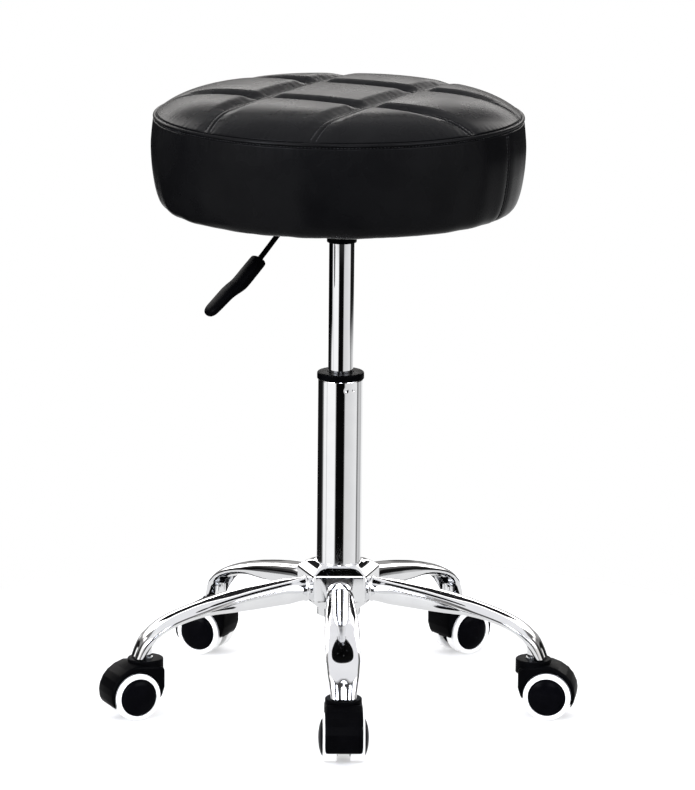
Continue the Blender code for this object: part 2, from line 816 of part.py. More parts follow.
def build_seat(materials):
    seat = make_empty("seat_frame")
    cushion = make_empty("cushion_frame", (SEAT_OFFSET, 0.0, 0.0), parent=seat)
    place("seat_top_panel", make_top_panel(), materials["leatherette"], cushion)
    place("seat_side_band", make_side_band(), materials["leatherette"], cushion)
    place("seat_foam", make_foam(), materials["foam"], cushion)
    place("seat_board", make_board(), materials["plywood"], cushion)
    place("mounting_plate", make_mounting_plate(), materials["black_steel"], seat)
    screw = make_screw()
    for number, (x, y) in enumerate(screw_points(), start=1):
        place(f"mounting_screw_{number}", screw, materials["zinc"], seat, (x, y, 0.5611))
    pivot = (
        LEVER_PIVOT_RADIUS * math.cos(LEVER_ANGLE),
        LEVER_PIVOT_RADIUS * math.sin(LEVER_ANGLE),
        LEVER_Z,
    )
    lever = make_empty("lever_pivot", pivot, LEVER_ANGLE, seat)
    place("lever_rod", make_lever_rod(), materials["black_steel"], lever)
    place("lever_grip", make_lever_grip(), materials["black_plastic"], lever)


def build_lift(materials):
    lift = make_empty("lift_axis")
    place("stand_tube", make_stand_tube(), materials["chrome"], lift)
    place("guide_bush", make_guide_bush(), materials["black_plastic"], lift)
    place("pressure_tube", make_pressure_tube(), materials["chrome"], lift)
    place("piston_rod", make_piston_rod(), materials["bright_steel"], lift)
    place("retaining_clip", make_retaining_clip(), materials["zinc"], lift)
    place("thrust_bearing", make_thrust_bearing(), materials["bright_steel"], lift)
    pin_top = LEVER_Z - LEVER_ROD_RADIUS - 0.0004
    place("valve_pin", make_valve_pin(), materials["brass"], lift, (0.0, 0.0, pin_top))


def build_base(materials):
    place("hub", make_hub(), materials["chrome"])
    leg = make_leg()
    meshes = {
        "stem": make_stem(),
        "hood": make_hood(),
        "axle": make_axle(),
        "core_l": make_wheel_core(-1.0),
        "core_r": make_wheel_core(1.0),
        "tread_l": make_tread(-1.0),
        "tread_r": make_tread(1.0),
    }
    axle_place = (0.0, AXLE_Y, WHEEL_RADIUS)
    for index in range(LEG_COUNT):
        number = index + 1
        turn = 2.0 * math.pi * index / LEG_COUNT
        place(f"leg_{number}", leg, materials["chrome"], turn=turn)
        spot = (STEM_CIRCLE * math.sin(turn), -STEM_CIRCLE * math.cos(turn), 0.0)
        swivel_turn = turn + math.radians(SWIVEL_ANGLES[index])
        swivel = make_empty(f"caster_{number}_swivel", spot, swivel_turn)
        place(f"caster_{number}_stem", meshes["stem"], materials["zinc"], location=spot, turn=turn)
        place(f"caster_{number}_hood", meshes["hood"], materials["black_plastic"], swivel)
        place(f"caster_{number}_axle", meshes["axle"], materials["bright_steel"], swivel, axle_place)
        for side in ("l", "r"):
            core_name = f"caster_{number}_wheel_{side}"
            tread_name = f"caster_{number}_tread_{side}"
            place(core_name, meshes["core_" + side], materials["gloss_plastic"], swivel, axle_place)
            place(tread_name, meshes["tread_" + side], materials["white_tread"], swivel, axle_place)


def main():
    clear_scene()
    materials = {
        "leatherette": make_material("leatherette", (0.012, 0.012, 0.013), 0.42, 0.0),
        "foam": make_material("foam", (0.75, 0.68, 0.45), 0.95, 0.0),
        "plywood": make_material("plywood", (0.55, 0.38, 0.22), 0.75, 0.0),
        "black_steel": make_material("black_steel", (0.010, 0.010, 0.011), 0.38, 0.0),
        "black_plastic": make_material("black_plastic", (0.010, 0.010, 0.011), 0.45, 0.0),
        "gloss_plastic": make_material("gloss_plastic", (0.010, 0.010, 0.011), 0.22, 0.0),
        "white_tread": make_material("white_tread", (0.80, 0.79, 0.77), 0.45, 0.0),
        "chrome": make_material("chrome", (0.86, 0.87, 0.89), 0.05, 1.0),
        "bright_steel": make_material("bright_steel", (0.62, 0.63, 0.65), 0.25, 1.0),
        "zinc": make_material("zinc", (0.66, 0.67, 0.68), 0.30, 1.0),
        "brass": make_material("brass", (0.78, 0.60, 0.28), 0.30, 1.0),
    }
    build_seat(materials)
    build_lift(materials)
    build_base(materials)
    bpy.context.view_layer.update()


main()
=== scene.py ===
"""Looks of the rolling salon stool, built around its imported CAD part.

Everything is in metres in the part's own frame: +Z up, the floor at z = 0, leg 1 towards -Y.
"""

import json
import math

import bmesh
import bpy
import numpy as np
from mathutils import Matrix, Vector
from mathutils.geometry import delaunay_2d_cdt


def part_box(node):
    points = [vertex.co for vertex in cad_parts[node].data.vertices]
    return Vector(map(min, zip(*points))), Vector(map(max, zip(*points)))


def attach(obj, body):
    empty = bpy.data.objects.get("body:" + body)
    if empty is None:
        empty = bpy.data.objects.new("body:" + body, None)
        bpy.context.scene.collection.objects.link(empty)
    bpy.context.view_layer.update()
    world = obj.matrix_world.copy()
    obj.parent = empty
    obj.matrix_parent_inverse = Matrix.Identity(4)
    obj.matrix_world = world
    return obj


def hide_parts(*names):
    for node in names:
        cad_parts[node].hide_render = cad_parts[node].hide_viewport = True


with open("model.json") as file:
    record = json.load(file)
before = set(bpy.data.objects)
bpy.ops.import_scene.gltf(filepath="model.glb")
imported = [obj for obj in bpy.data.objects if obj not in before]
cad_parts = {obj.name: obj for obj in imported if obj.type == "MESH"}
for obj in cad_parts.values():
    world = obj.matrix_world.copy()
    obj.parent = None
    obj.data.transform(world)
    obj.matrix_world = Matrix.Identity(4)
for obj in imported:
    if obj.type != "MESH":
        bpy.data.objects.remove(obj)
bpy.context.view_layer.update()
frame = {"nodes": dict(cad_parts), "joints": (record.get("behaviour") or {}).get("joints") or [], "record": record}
joints = {joint["name"]: joint for joint in frame["joints"]}
TAU = 2.0 * math.pi
MM = 0.001


# ---------------------------------------------------------------- small tools


def smooth_step(value):
    value = np.clip(value, 0.0, 1.0)
    return value * value * (3.0 - 2.0 * value)


def hump(value, width):
    return np.exp(-((value / width) ** 2))


def in_mm(points):
    """Points written in millimetres, as metres."""
    return [tuple(value * MM for value in point) for point in points]


def fifth_turn(index):
    """Turn from the first leg to another one."""
    return Matrix.Rotation(TAU * index / 5, 4, "Z")


def tilt(degrees, axis):
    return Matrix.Rotation(math.radians(degrees), 4, axis)


def add_object(name, data):
    obj = bpy.data.objects.new(name, data)
    bpy.context.scene.collection.objects.link(obj)
    return obj


def raw_mesh(name, verts, faces):
    mesh = bpy.data.meshes.new(name)
    mesh.from_pydata([tuple(vert) for vert in verts], [], faces)
    mesh.shade_smooth()
    return mesh


def strip_faces(rows, count, base=0):
    """Faces between rings of equal length that follow each other in a list of points."""
    faces = []
    for row in range(rows - 1):
        for step in range(count):
            after = (step + 1) % count
            low, high = base + row * count, base + (row + 1) * count
            faces.append((low + step, low + after, high + after, high + step))
    return faces


def mesh_from(name, verts, faces, smooth_angle=None):
    """Mesh with its doubles removed and its faces turned outwards."""
    mesh = raw_mesh(name, verts, faces)
    bm = bmesh.new()
    bm.from_mesh(mesh)
    bmesh.ops.remove_doubles(bm, verts=bm.verts, dist=2e-6)
    bmesh.ops.dissolve_degenerate(bm, edges=bm.edges, dist=1e-6)
    bmesh.ops.recalc_face_normals(bm, faces=bm.faces)
    bm.to_mesh(mesh)
    bm.free()
    mesh.shade_smooth()
    if smooth_angle:
        mesh.set_sharp_from_angle(angle=math.radians(smooth_angle))
    return mesh


def skin(name, rings, close_ends=True, smooth_angle=None):
    """Join rings of equal length, one after another, into a closed tube."""
    count = len(rings[0])
    verts = [point for ring in rings for point in ring]
    faces = strip_faces(len(rings), count)
    if close_ends:
        faces.append(tuple(range(count)))
        faces.append(tuple((len(rings) - 1) * count + step for step in range(count)))
    return mesh_from(name, verts, faces, smooth_angle)


def rounded(points, radius, steps=4, closed=True):
    """Round the corners of an outline. The radius is one number or one for each corner."""
    result = []
    count = len(points)
    for index, point in enumerate(points):
        size = radius[index] if isinstance(radius, (list, tuple)) else radius
        if size == 0 or (not closed and index in (0, count - 1)):
            result.append(tuple(point))
            continue
        corner = Vector(point)
        back = Vector(points[index - 1]) - corner
        ahead = Vector(points[(index + 1) % count]) - corner
        turn = max(back.angle(ahead), 0.05)
        cut = min(size / math.tan(turn / 2.0), 0.48 * back.length, 0.48 * ahead.length)
        start = corner + back.normalized() * cut
        end = corner + ahead.normalized() * cut
        for step in range(steps + 1):
            t = step / steps
            result.append(tuple((1 - t) ** 2 * start + 2 * t * (1 - t) * corner + t * t * end))
    return result


def curve_through(points, steps):
    """Smooth curve through points, as a numpy array, with some steps from each to the next."""
    points = np.array(points, float)
    padded = np.vstack([2 * points[0] - points[1], points, 2 * points[-1] - points[-2]])
    result = []
    for index in range(1, len(padded) - 2):
        p0, p1, p2, p3 = padded[index - 1 : index + 3]
        for step in range(steps):
            t = step / steps
            result.append(
                0.5 * (2 * p1 + (p2 - p0) * t + (2 * p0 - 5 * p1 + 4 * p2 - p3) * t**2
                       + (3 * p1 - p0 - 3 * p2 + p3) * t**3)
            )
    result.append(padded[-2])
    return np.array(result)


def turned(name, profile, steps, axis="Z", closed=True, smooth_angle=40.0, shape=None):
    """Turn an outline of (radius, height) points. Shape may change the radius by angle and height."""
    rings = []
    for radius, height in profile:
        ring = []
        for step in range(steps):
            angle = TAU * step / steps
            out = radius + (shape(angle, radius, height) if shape else 0.0)
            if axis == "Z":
                ring.append((out * math.cos(angle), out * math.sin(angle), height))
            else:
                ring.append((height, out * math.cos(angle), out * math.sin(angle)))
        rings.append(ring)
    if closed:
        rings.append(rings[0])
    return skin(name, rings, False, smooth_angle)


def bar(name, radius, start, end, steps=32):
    start, end = Vector(start), Vector(end)
    forward = (end - start).normalized()
    side = forward.orthogonal().normalized()
    other = forward.cross(side)
    rings = []
    for centre in (start, end):
        angles = [TAU * step / steps for step in range(steps)]
        rings.append([centre + radius * (math.cos(a) * side + math.sin(a) * other) for a in angles])
    return skin(name, rings)


def combined(name, base_mesh, operations, smooth_angle=40.0):
    """Apply (mode, mesh) Boolean operations and return the finished mesh."""
    base = add_object(name, base_mesh)
    tools = []
    for mode, mesh in operations:
        tool = add_object(name + "_tool", mesh)
        modifier = base.modifiers.new(mode, "BOOLEAN")
        modifier.operation = mode
        modifier.object = tool
        tools.append(tool)
    depsgraph = bpy.context.evaluated_depsgraph_get()
    finished = bpy.data.meshes.new_from_object(base.evaluated_get(depsgraph))
    finished.name = name
    for obj in [base, *tools]:
        bpy.data.objects.remove(obj, do_unlink=True)
    finished.shade_smooth()
    finished.set_sharp_from_angle(angle=math.radians(smooth_angle))
    return finished


def piece(name, mesh, body, slot, replaced=(), matrix=None, material=None):
    """Put a mesh in the scene as one visible piece that rides on a CAD body."""
    obj = add_object(name, mesh)
    if not mesh.materials:
        mesh.materials.append(material or MATERIALS[slot])
    if matrix is not None:
        obj.matrix_world = matrix
    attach(obj, body)
    if replaced:
        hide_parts(*replaced)
    return obj


# ---------------------------------------------------------------- materials


def feed(tree, node, values):
    """Give a node's inputs a constant each, or a link from another node's output."""
    for key, value in values.items():
        if isinstance(value, bpy.types.NodeSocket):
            tree.links.new(value, node.inputs[key])
        else:
            node.inputs[key].default_value = value
    return node


def new_material(name, colour, roughness, metallic=0.0, specular=0.5):
    material = bpy.data.materials.new(name)
    material.use_nodes = True
    tree = material.node_tree
    values = {"Base Color": (*colour, 1.0), "Roughness": roughness, "Metallic": metallic}
    shader = feed(tree, tree.nodes["Principled BSDF"], {**values, "Specular IOR Level": specular})
    return material, tree, shader


def texture(tree, kind, scale, stretch=(1.0, 1.0, 1.0), **settings):
    """A texture in the piece's own metres. Scale is in repeats per metre."""
    place = tree.nodes.new("ShaderNodeTexCoord").outputs["Object"]
    mapping = feed(tree, tree.nodes.new("ShaderNodeMapping"), {"Vector": place, "Scale": stretch})
    values = {"Vector": mapping.outputs["Vector"], "Scale": scale, **settings}
    return feed(tree, tree.nodes.new(kind), values)


def noise(tree, scale, detail, stretch=(1.0, 1.0, 1.0), distortion=0.0):
    node = texture(tree, "ShaderNodeTexNoise", scale, stretch, Detail=detail, Distortion=distortion)
    return node.outputs["Fac"]


def spread(tree, source, low, high, target, from_low=0.3, from_high=0.7):
    """Map a texture's values to a range and feed it to a socket."""
    limits = {"From Min": from_low, "From Max": from_high, "To Min": low, "To Max": high}
    node = feed(tree, tree.nodes.new("ShaderNodeMapRange"), {"Value": source, **limits})
    tree.links.new(node.outputs["Result"], target)


def tint(tree, source, dark, light, shader, from_low=0.3, from_high=0.7):
    """Colour variation between two colours."""
    ramp = tree.nodes.new("ShaderNodeValToRGB")
    ramp.color_ramp.elements[0].position = from_low
    ramp.color_ramp.elements[0].color = (*dark, 1.0)
    ramp.color_ramp.elements[1].position = from_high
    ramp.color_ramp.elements[1].color = (*light, 1.0)
    tree.links.new(source, ramp.inputs["Fac"])
    tree.links.new(ramp.outputs["Color"], shader.inputs["Base Color"])


def bump(tree, source, distance, strength, shader, before=None):
    values = {"Height": source, "Distance": distance, "Strength": strength}
    node = feed(tree, tree.nodes.new("ShaderNodeBump"), values)
    if before is not None:
        feed(tree, node, {"Normal": before.outputs["Normal"]})
    feed(tree, shader, {"Normal": node.outputs["Normal"]})
    return node


def make_leather():
    material, tree, shader = new_material("leatherette", (0.003, 0.003, 0.0033), 0.28, specular=0.04)
    cloud = noise(tree, 22.0, 3.0)
    spread(tree, cloud, 0.24, 0.31, shader.inputs["Roughness"])
    tint(tree, cloud, (0.0030, 0.0030, 0.0033), (0.0045, 0.0045, 0.0048), shader)
    grain = texture(tree, "ShaderNodeTexVoronoi", 780.0)
    first = bump(tree, grain.outputs["Distance"], 0.00016, 0.16, shader)
    pores = noise(tree, 2300.0, 2.0)
    bump(tree, pores, 0.00008, 0.12, shader, first)
    return material


def make_look(name, colour, roughness, pattern, tints, rough=None, relief=None, grain=None, **surface):
    """Material with one noise pattern in its colour and roughness. Relief is (distance, strength) of that
    pattern, or of a finer one when a grain scale is given."""
    material, tree, shader = new_material(name, colour, roughness, **surface)
    cloud = noise(tree, *pattern)
    tint(tree, cloud, *tints, shader)
    if rough:
        spread(tree, cloud, *rough, shader.inputs["Roughness"])
    if relief:
        bump(tree, noise(tree, grain, 2.0) if grain else cloud, *relief, shader)
    return material


def make_steel(name, light, rough, stretch=(1.0, 1.0, 12.0)):
    tints = (tuple(0.8 * part for part in light), light)
    limits = (rough - 0.07, rough + 0.10)
    return make_look(name, light, rough, (260.0, 3.0, stretch), tints, limits, (0.00005, 0.25), metallic=1.0)


def make_plastic(name, colour, rough, specular, grain, strength):
    tints = (colour, tuple(1.6 * part for part in colour))
    limits, relief = (rough - 0.04, rough + 0.06), (0.00006, strength)
    return make_look(name, colour, rough, (70.0, 3.0), tints, limits, relief, grain, specular=specular)


LEATHER = make_leather()
LINING = make_look(
    "lining", (0.002, 0.002, 0.002), 0.9, (900.0, 5.0, (1.0, 3.0, 1.0)),
    ((0.0008, 0.0008, 0.0008), (0.004, 0.004, 0.004)), relief=(0.0002, 0.4), specular=0.05,
)
THREAD = make_look(
    "thread", (0.012, 0.012, 0.013), 0.5, (1800.0, 2.0),
    ((0.006, 0.006, 0.007), (0.030, 0.030, 0.032)), relief=(0.0002, 0.5), specular=0.4,
)
MATERIALS = {
    "leatherette": LEATHER,
    "foam": LEATHER,
    "chrome": make_look(
        "chrome", (0.90, 0.905, 0.92), 0.05, (45.0, 4.0),
        ((0.87, 0.875, 0.89), (0.92, 0.925, 0.935)), (0.025, 0.075), metallic=1.0,
    ),
    "bright_steel": make_steel("bright_steel", (0.66, 0.67, 0.69), 0.22),
    "zinc": make_steel("zinc", (0.70, 0.71, 0.72), 0.30, (1.0, 1.0, 1.0)),
    "brass": make_steel("brass", (0.80, 0.60, 0.28), 0.28),
    "black_steel": make_plastic("black_steel", (0.0009, 0.0009, 0.001), 0.30, 0.012, 1400.0, 0.5),
    "black_plastic": make_plastic("black_plastic", (0.0008, 0.0008, 0.001), 0.34, 0.010, 2600.0, 0.35),
    "gloss_plastic": make_plastic("gloss_plastic", (0.0010, 0.0010, 0.0014), 0.20, 0.012, 900.0, 0.05),
    "white_tread": make_look(
        "white_tread", (0.86, 0.855, 0.84), 0.42, (55.0, 4.0),
        ((0.80, 0.795, 0.775), (0.88, 0.875, 0.865)), (0.36, 0.50), (0.00005, 0.2), 1500.0,
    ),
    "plywood": make_look(
        "plywood", (0.55, 0.38, 0.22), 0.7, (60.0, 5.0, (1.0, 14.0, 6.0), 1.2),
        ((0.36, 0.23, 0.12), (0.66, 0.49, 0.30)), (0.6, 0.8), (0.0003, 0.3),
    ),
}


def dress_cad_nodes():
    for part in frame["record"]["subparts"]:
        data = frame["nodes"][part["node"]].data
        data.materials.clear()
        data.materials.append(MATERIALS[part["material_slot"]])


# ---------------------------------------------------------------- cushion

band_low, band_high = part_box("seat_side_band")
top_low, top_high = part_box("seat_top_panel")
SEAT_X = (band_low.x + band_high.x) / 2.0
SEAT_Y = (band_low.y + band_high.y) / 2.0
SEAT_RADIUS = (band_high.x - band_low.x) / 2.0
SEAM_RADIUS = (top_high.x - top_low.x) / 2.0
SEAM_Z = top_low.z
CROWN = top_high.z - top_low.z
SEAT_FOOT = band_low.z
QUILT_ANGLE = math.radians(62.0)
QUILT_OFFSET = 63.0 * MM
ROW_OFFSET = 3.0 * MM
PANEL_EDGE = 3.5 * MM
PILLOW_STRAIGHT = 7.0 * MM
PILLOW_TURN = 9.0 * MM
PILLOW_FULL = 11.5 * MM
PILLOW_REACH = 57.0 * MM
TUCK_HEIGHT = 0.26 * MM
SIDE_ROW_OFFSET = 2.2 * MM
THREAD_RADIUS = 0.36 * MM
LIP = 1.0 * MM
SIDE_SEAM_ANGLE = math.radians(-28.0)


def wave_table(seed, count, low, high):
    """Seeded waves for puckers: (repeats round the seat, phase, size)."""
    random = np.random.default_rng(seed)
    repeats = random.integers(low, high, count)
    phases = random.uniform(0.0, TAU, count)
    sizes = random.uniform(0.4, 1.0, count)
    return list(zip(repeats, phases, sizes / sizes.sum()))


def waves(table, angle):
    return sum(size * np.sin(repeat * angle + phase) for repeat, phase, size in table)


FINE_PUCKERS = wave_table(4, 9, 70, 190)
SOFT_PUCKERS = wave_table(9, 6, 9, 34)
PLEATS = wave_table(15, 7, 46, 90)


def crown(radius):
    share = np.clip(radius / SEAM_RADIUS, 0.0, 1.0)
    return SEAM_Z + CROWN * (1.0 - share**6.2)


def quilt_depth(radius):
    """How far the sewn channels lie under the crests."""
    return 0.9 * MM + 6.4 * MM * (1.0 - smooth_step((radius - 0.114) / 0.078))


def quilt_axes(x, y):
    u = math.cos(QUILT_ANGLE) * x + math.sin(QUILT_ANGLE) * y
    v = -math.sin(QUILT_ANGLE) * x + math.cos(QUILT_ANGLE) * y
    return u, v


def quilt_plan(u, v):
    x = math.cos(QUILT_ANGLE) * u - math.sin(QUILT_ANGLE) * v
    y = math.sin(QUILT_ANGLE) * u + math.cos(QUILT_ANGLE) * v
    return x, y


def pillow(distance):
    """Rise of a panel, from 0 at its sewn edge to 1 in its middle."""
    reach = np.maximum(distance - PANEL_EDGE, 0.0)
    straight = np.minimum(reach, PILLOW_STRAIGHT)
    turned_over = np.clip((reach - PILLOW_STRAIGHT) / PILLOW_TURN, 0.0, 1.0)
    steep = (straight + PILLOW_TURN * (turned_over - turned_over**2 / 2.0)) / PILLOW_FULL
    slow = 1.0 - (1.0 - np.clip(reach / PILLOW_REACH, 0.0, 1.0)) ** 2
    return 0.80 * steep + 0.20 * slow


def quilt_drop(x, y, radius):
    """How far the quilted top lies under the plain crown: panels, sewn channels and their strips."""
    u, v = quilt_axes(x, y)
    from_u, from_v = np.abs(np.abs(u) - QUILT_OFFSET), np.abs(np.abs(v) - QUILT_OFFSET)
    drop = quilt_depth(radius) * (1.0 - pillow(from_u) * pillow(from_v))
    lip_u, lip_v = (smooth_step((d - 2.7 * MM) / (1.6 * MM)) for d in (from_u, from_v))
    fade = 0.45 + 0.55 * smooth_step((SEAM_RADIUS - radius) / (16.0 * MM))
    drop += LIP * fade * (1.0 - lip_u * lip_v)
    bands = []
    for from_strip, along in ((from_u, v), (from_v, u)):
        bands.append(np.clip(1.0 - (from_strip / (2.5 * MM)) ** 2, 0.0, 1.0) ** 0.7)
        tucks = np.sin(along / (2.7 * MM)) * np.sin(along / (7.7 * MM) + 1.0)
        reach = from_strip - PANEL_EDGE
        tucks = tucks * smooth_step(reach / (2.5 * MM)) * np.exp(-np.maximum(reach, 0.0) / (7.0 * MM))
        drop -= TUCK_HEIGHT * tucks
    return drop - 1.5 * MM * fade * np.maximum(bands[1], bands[0] * lip_v)


def cushion_outline():
    """Smooth outline from the middle of the top over the seam to the middle of the underside."""
    top_radii = np.linspace(0.0, SEAM_RADIUS - 0.6 * MM, 260)
    top = np.stack([top_radii, crown(top_radii)], 1)
    side = curve_through(
        [
            (SEAM_RADIUS + 0.2 * MM, SEAM_Z - 1.2 * MM),
            (SEAT_RADIUS - 1.2 * MM, 0.6490),
            (SEAT_RADIUS, 0.6320),
            (SEAT_RADIUS - 0.9 * MM, 0.6120),
            (SEAT_RADIUS - 3.2 * MM, 0.5940),
            (SEAT_RADIUS - 6.2 * MM, 0.5800),
            (SEAT_RADIUS - 10.5 * MM, 0.5690),
            (SEAT_RADIUS - 16.5 * MM, 0.5628),
            (SEAT_RADIUS - 24.0 * MM, SEAT_FOOT + 0.3 * MM),
            (0.1745, SEAT_FOOT),
        ],
        24,
    )
    inside = rounded(
        [(0.1700, SEAT_FOOT), (0.1680, 0.5618), (0.1700, 0.5634), (0.1860, 0.5638),
         (0.1870, 0.5775), (0.0, 0.5775)],
        1.0 * MM, 5, False,
    )
    outline = np.vstack([top, side, np.array(inside)])
    length = np.concatenate([[0.0], np.cumsum(np.hypot(*np.diff(outline, axis=0).T))])
    even = np.arange(0.0, length[-1], 0.25 * MM)
    radius = np.interp(even, length, outline[:, 0])
    height = np.interp(even, length, outline[:, 1])
    kernel = np.hanning(9) / np.hanning(9).sum()
    for values in (radius, height):
        values[4:-4] = np.convolve(values, kernel, "valid")
    return even, radius, height


ARC, ARC_RADIUS, ARC_HEIGHT = cushion_outline()
SLOPE_R = np.gradient(ARC_RADIUS, ARC)
SLOPE_Z = np.gradient(ARC_HEIGHT, ARC)
SEAM_ARC = float(ARC[np.argmin(np.abs(ARC_RADIUS - SEAM_RADIUS) + 2.0 * np.abs(ARC_HEIGHT - SEAM_Z))])
FOOT_ARC = float(ARC[np.argmax(ARC_HEIGHT < SEAT_FOOT + 0.5 * MM)])


def seam_relief(distance, half, depth):
    """Cross-section of a raised strip with a row of stitches sunk on each side of it."""
    band = np.clip(1.0 - (distance / (half - 0.5 * MM)) ** 2, 0.0, 1.0) ** 0.6
    return depth * (0.45 * band - hump(np.abs(distance) - half, 0.85 * MM))


def cover_points(arc, angle):
    """Points of the cover, from the distance along the outline and the angle round the seat."""
    radius = np.interp(arc, ARC, ARC_RADIUS)
    height = np.interp(arc, ARC, ARC_HEIGHT)
    slope_r = np.interp(arc, ARC, SLOPE_R)
    slope_z = np.interp(arc, ARC, SLOPE_Z)
    from_seam = arc - SEAM_ARC
    on_top = smooth_step((-from_seam - 2.0 * MM) / (3.0 * MM))
    on_side = smooth_step(from_seam / (3.0 * MM)) * (1.0 - smooth_step((arc - FOOT_ARC) / (30.0 * MM)))
    out = seam_relief(from_seam, ROW_OFFSET, 2.1 * MM)
    away = np.abs(from_seam) - ROW_OFFSET
    near_seam = np.exp(-np.maximum(away, 0.0) / (8.0 * MM)) * smooth_step(away / (2.5 * MM))
    out += 0.38 * MM * waves(FINE_PUCKERS, angle) * near_seam
    out += 0.7 * MM * waves(SOFT_PUCKERS, angle) * on_side
    from_side_seam = (angle - SIDE_SEAM_ANGLE) * SEAT_RADIUS
    below = smooth_step((from_seam - ROW_OFFSET) / (10.0 * MM))
    out += on_side * below * seam_relief(from_side_seam, SIDE_ROW_OFFSET, 0.9 * MM)
    out -= on_side * 1.2 * MM * hump(from_side_seam, 9.0 * MM)
    tucked = smooth_step((arc - FOOT_ARC + 4.0 * MM) / (12.0 * MM))
    tucked = tucked * smooth_step((radius - 0.1690) / (6.0 * MM))
    out += 0.8 * MM * waves(PLEATS, angle) * tucked * (height < 0.59)
    drop = on_top * quilt_drop(radius * np.cos(angle), radius * np.sin(angle), radius)
    new_radius = radius - slope_z * out
    new_height = height + slope_r * out - drop
    x, y = new_radius * np.cos(angle) + SEAT_X, new_radius * np.sin(angle) + SEAT_Y
    return np.stack([x, y, new_height], -1)


TOP_COUNT = int(np.argmax(ARC > SEAM_ARC - 1.0 * MM))


def top_points(x, y):
    """Points of the cover's top, from a place in the plan measured from the seat's middle."""
    radius = np.hypot(x, y)
    arc = np.interp(radius, ARC_RADIUS[:TOP_COUNT], ARC[:TOP_COUNT])
    return cover_points(arc, np.arctan2(y, x))


def unit(vectors):
    return vectors / np.linalg.norm(vectors, axis=-1, keepdims=True)


def quilt_lines(reach):
    """Grid lines across the top, crowded together at the sewn channels."""
    near = (0.0, 0.6, 1.2, 1.7, 2.1, 2.4, 2.7, 3.0, 3.3, 3.7, 4.2, 4.8, 5.6, 6.6, 8.0, 9.7, 11.7)
    offsets = [turn * step * MM for turn in (-1, 1) for step in near]
    lines = sorted({side * QUILT_OFFSET + offset for side in (-1, 1) for offset in offsets})
    marks = [-reach, *lines, reach]
    filled = []
    for before, after in zip(marks, marks[1:]):
        parts = max(1, math.ceil((after - before) / (2.5 * MM)))
        filled += [before + (after - before) * part / parts for part in range(parts)]
    return np.array(filled)


def make_cushion():
    """Closed cover: a top meshed along its quilting, sewn to rows that run round the side."""
    step = 0.3 * MM
    rows = np.concatenate([
        np.arange(-5.0, 7.01, 0.5) * MM + SEAM_ARC,
        np.arange(SEAM_ARC + 8.5 * MM, FOOT_ARC - 4.0 * MM, 3.0 * MM),
        np.arange(FOOT_ARC - 2.0 * MM, FOOT_ARC + 46.0 * MM, 2.2 * MM),
        np.arange(FOOT_ARC + 50.0 * MM, ARC[-1] - 2.0 * MM, 18.0 * MM),
    ])
    even = np.linspace(-math.pi, math.pi, 600, endpoint=False)
    even = even[np.abs(even - SIDE_SEAM_ANGLE) > 10.0 * MM / SEAT_RADIUS]
    close = SIDE_SEAM_ANGLE + np.arange(-9.0, 9.01, 0.6) * MM / SEAT_RADIUS
    angles = np.sort(np.concatenate([even, close]))
    count = len(angles)
    arcs, spins = np.meshgrid(rows, angles, indexing="ij")
    side = cover_points(arcs, spins)
    turn = step / np.maximum(np.interp(arcs, ARC, ARC_RADIUS), 2.0 * MM)
    down = cover_points(arcs + step, spins) - cover_points(arcs - step, spins)
    side_normals = unit(np.cross(down, cover_points(arcs, spins + turn) - cover_points(arcs, spins - turn)))

    rim = float(np.interp(rows[0], ARC, ARC_RADIUS))
    lines = quilt_lines(rim)
    u, v = (values.ravel() for values in np.meshgrid(lines, lines))
    x, y = quilt_plan(u, v)
    inside = np.hypot(x, y) < rim - 1.3 * MM
    x, y = x[inside], y[inside]
    top = top_points(x, y)
    across = top_points(x + step, y) - top_points(x - step, y)
    top_normals = unit(np.cross(across, top_points(x, y + step) - top_points(x, y - step)))
    plan = [Vector((rim * math.cos(a), rim * math.sin(a))) for a in angles]
    plan += [Vector(pair) for pair in zip(x, y)]
    edges = [(index, (index + 1) % count) for index in range(count)]
    found = delaunay_2d_cdt(plan, edges, [], 0, 1e-7)
    origin = [ids[0] for ids in found[3]]

    shift = len(rows) * count
    verts = np.vstack([side.reshape(-1, 3), top, [(SEAT_X, SEAT_Y, side[-1, 0, 2])]])
    normals = np.vstack([side_normals.reshape(-1, 3), top_normals, [(0.0, 0.0, -1.0)]])
    faces = []
    for face in found[2]:
        ids = [origin[index] for index in face]
        faces.append(tuple(index if index < count else shift + index - count for index in ids))
    for low, low_after, high_after, high in strip_faces(len(rows), count):
        faces.append((low, high, high_after, low_after))
    last, base = len(verts) - 1, (len(rows) - 1) * count
    faces += [(last, base + (column + 1) % count, base + column) for column in range(count)]
    mesh = raw_mesh("seat_cover", verts, faces)
    mesh.normals_split_custom_set_from_vertices([tuple(normal) for normal in normals])
    replaced = ("seat_top_panel", "seat_side_band", "seat_foam")
    cover = piece("seat_cover", mesh, "seat", "leatherette", replaced)


def stitch(verts, faces, start, end, lift):
    """One short thread between two points, bowed up in its middle."""
    start, end, up = Vector(start), Vector(end), Vector(lift).normalized()
    side = (end - start).normalized().cross(up).normalized()
    base = len(verts)
    sides = 6
    rings = ((0.0, -0.6, 0.5), (0.2, 0.4, 0.95), (0.5, 0.8, 1.0), (0.8, 0.4, 0.95), (1.0, -0.6, 0.5))
    for share, rise, size in rings:
        centre = start.lerp(end, share) + up * (rise * THREAD_RADIUS)
        for index in range(sides):
            angle = TAU * index / sides
            out = math.cos(angle) * side + math.sin(angle) * up
            verts.append(centre + THREAD_RADIUS * size * out)
    faces += strip_faces(len(rings), sides, base)
    faces.append(tuple(base + index for index in reversed(range(sides))))
    faces.append(tuple(base + (len(rings) - 1) * sides + index for index in range(sides)))


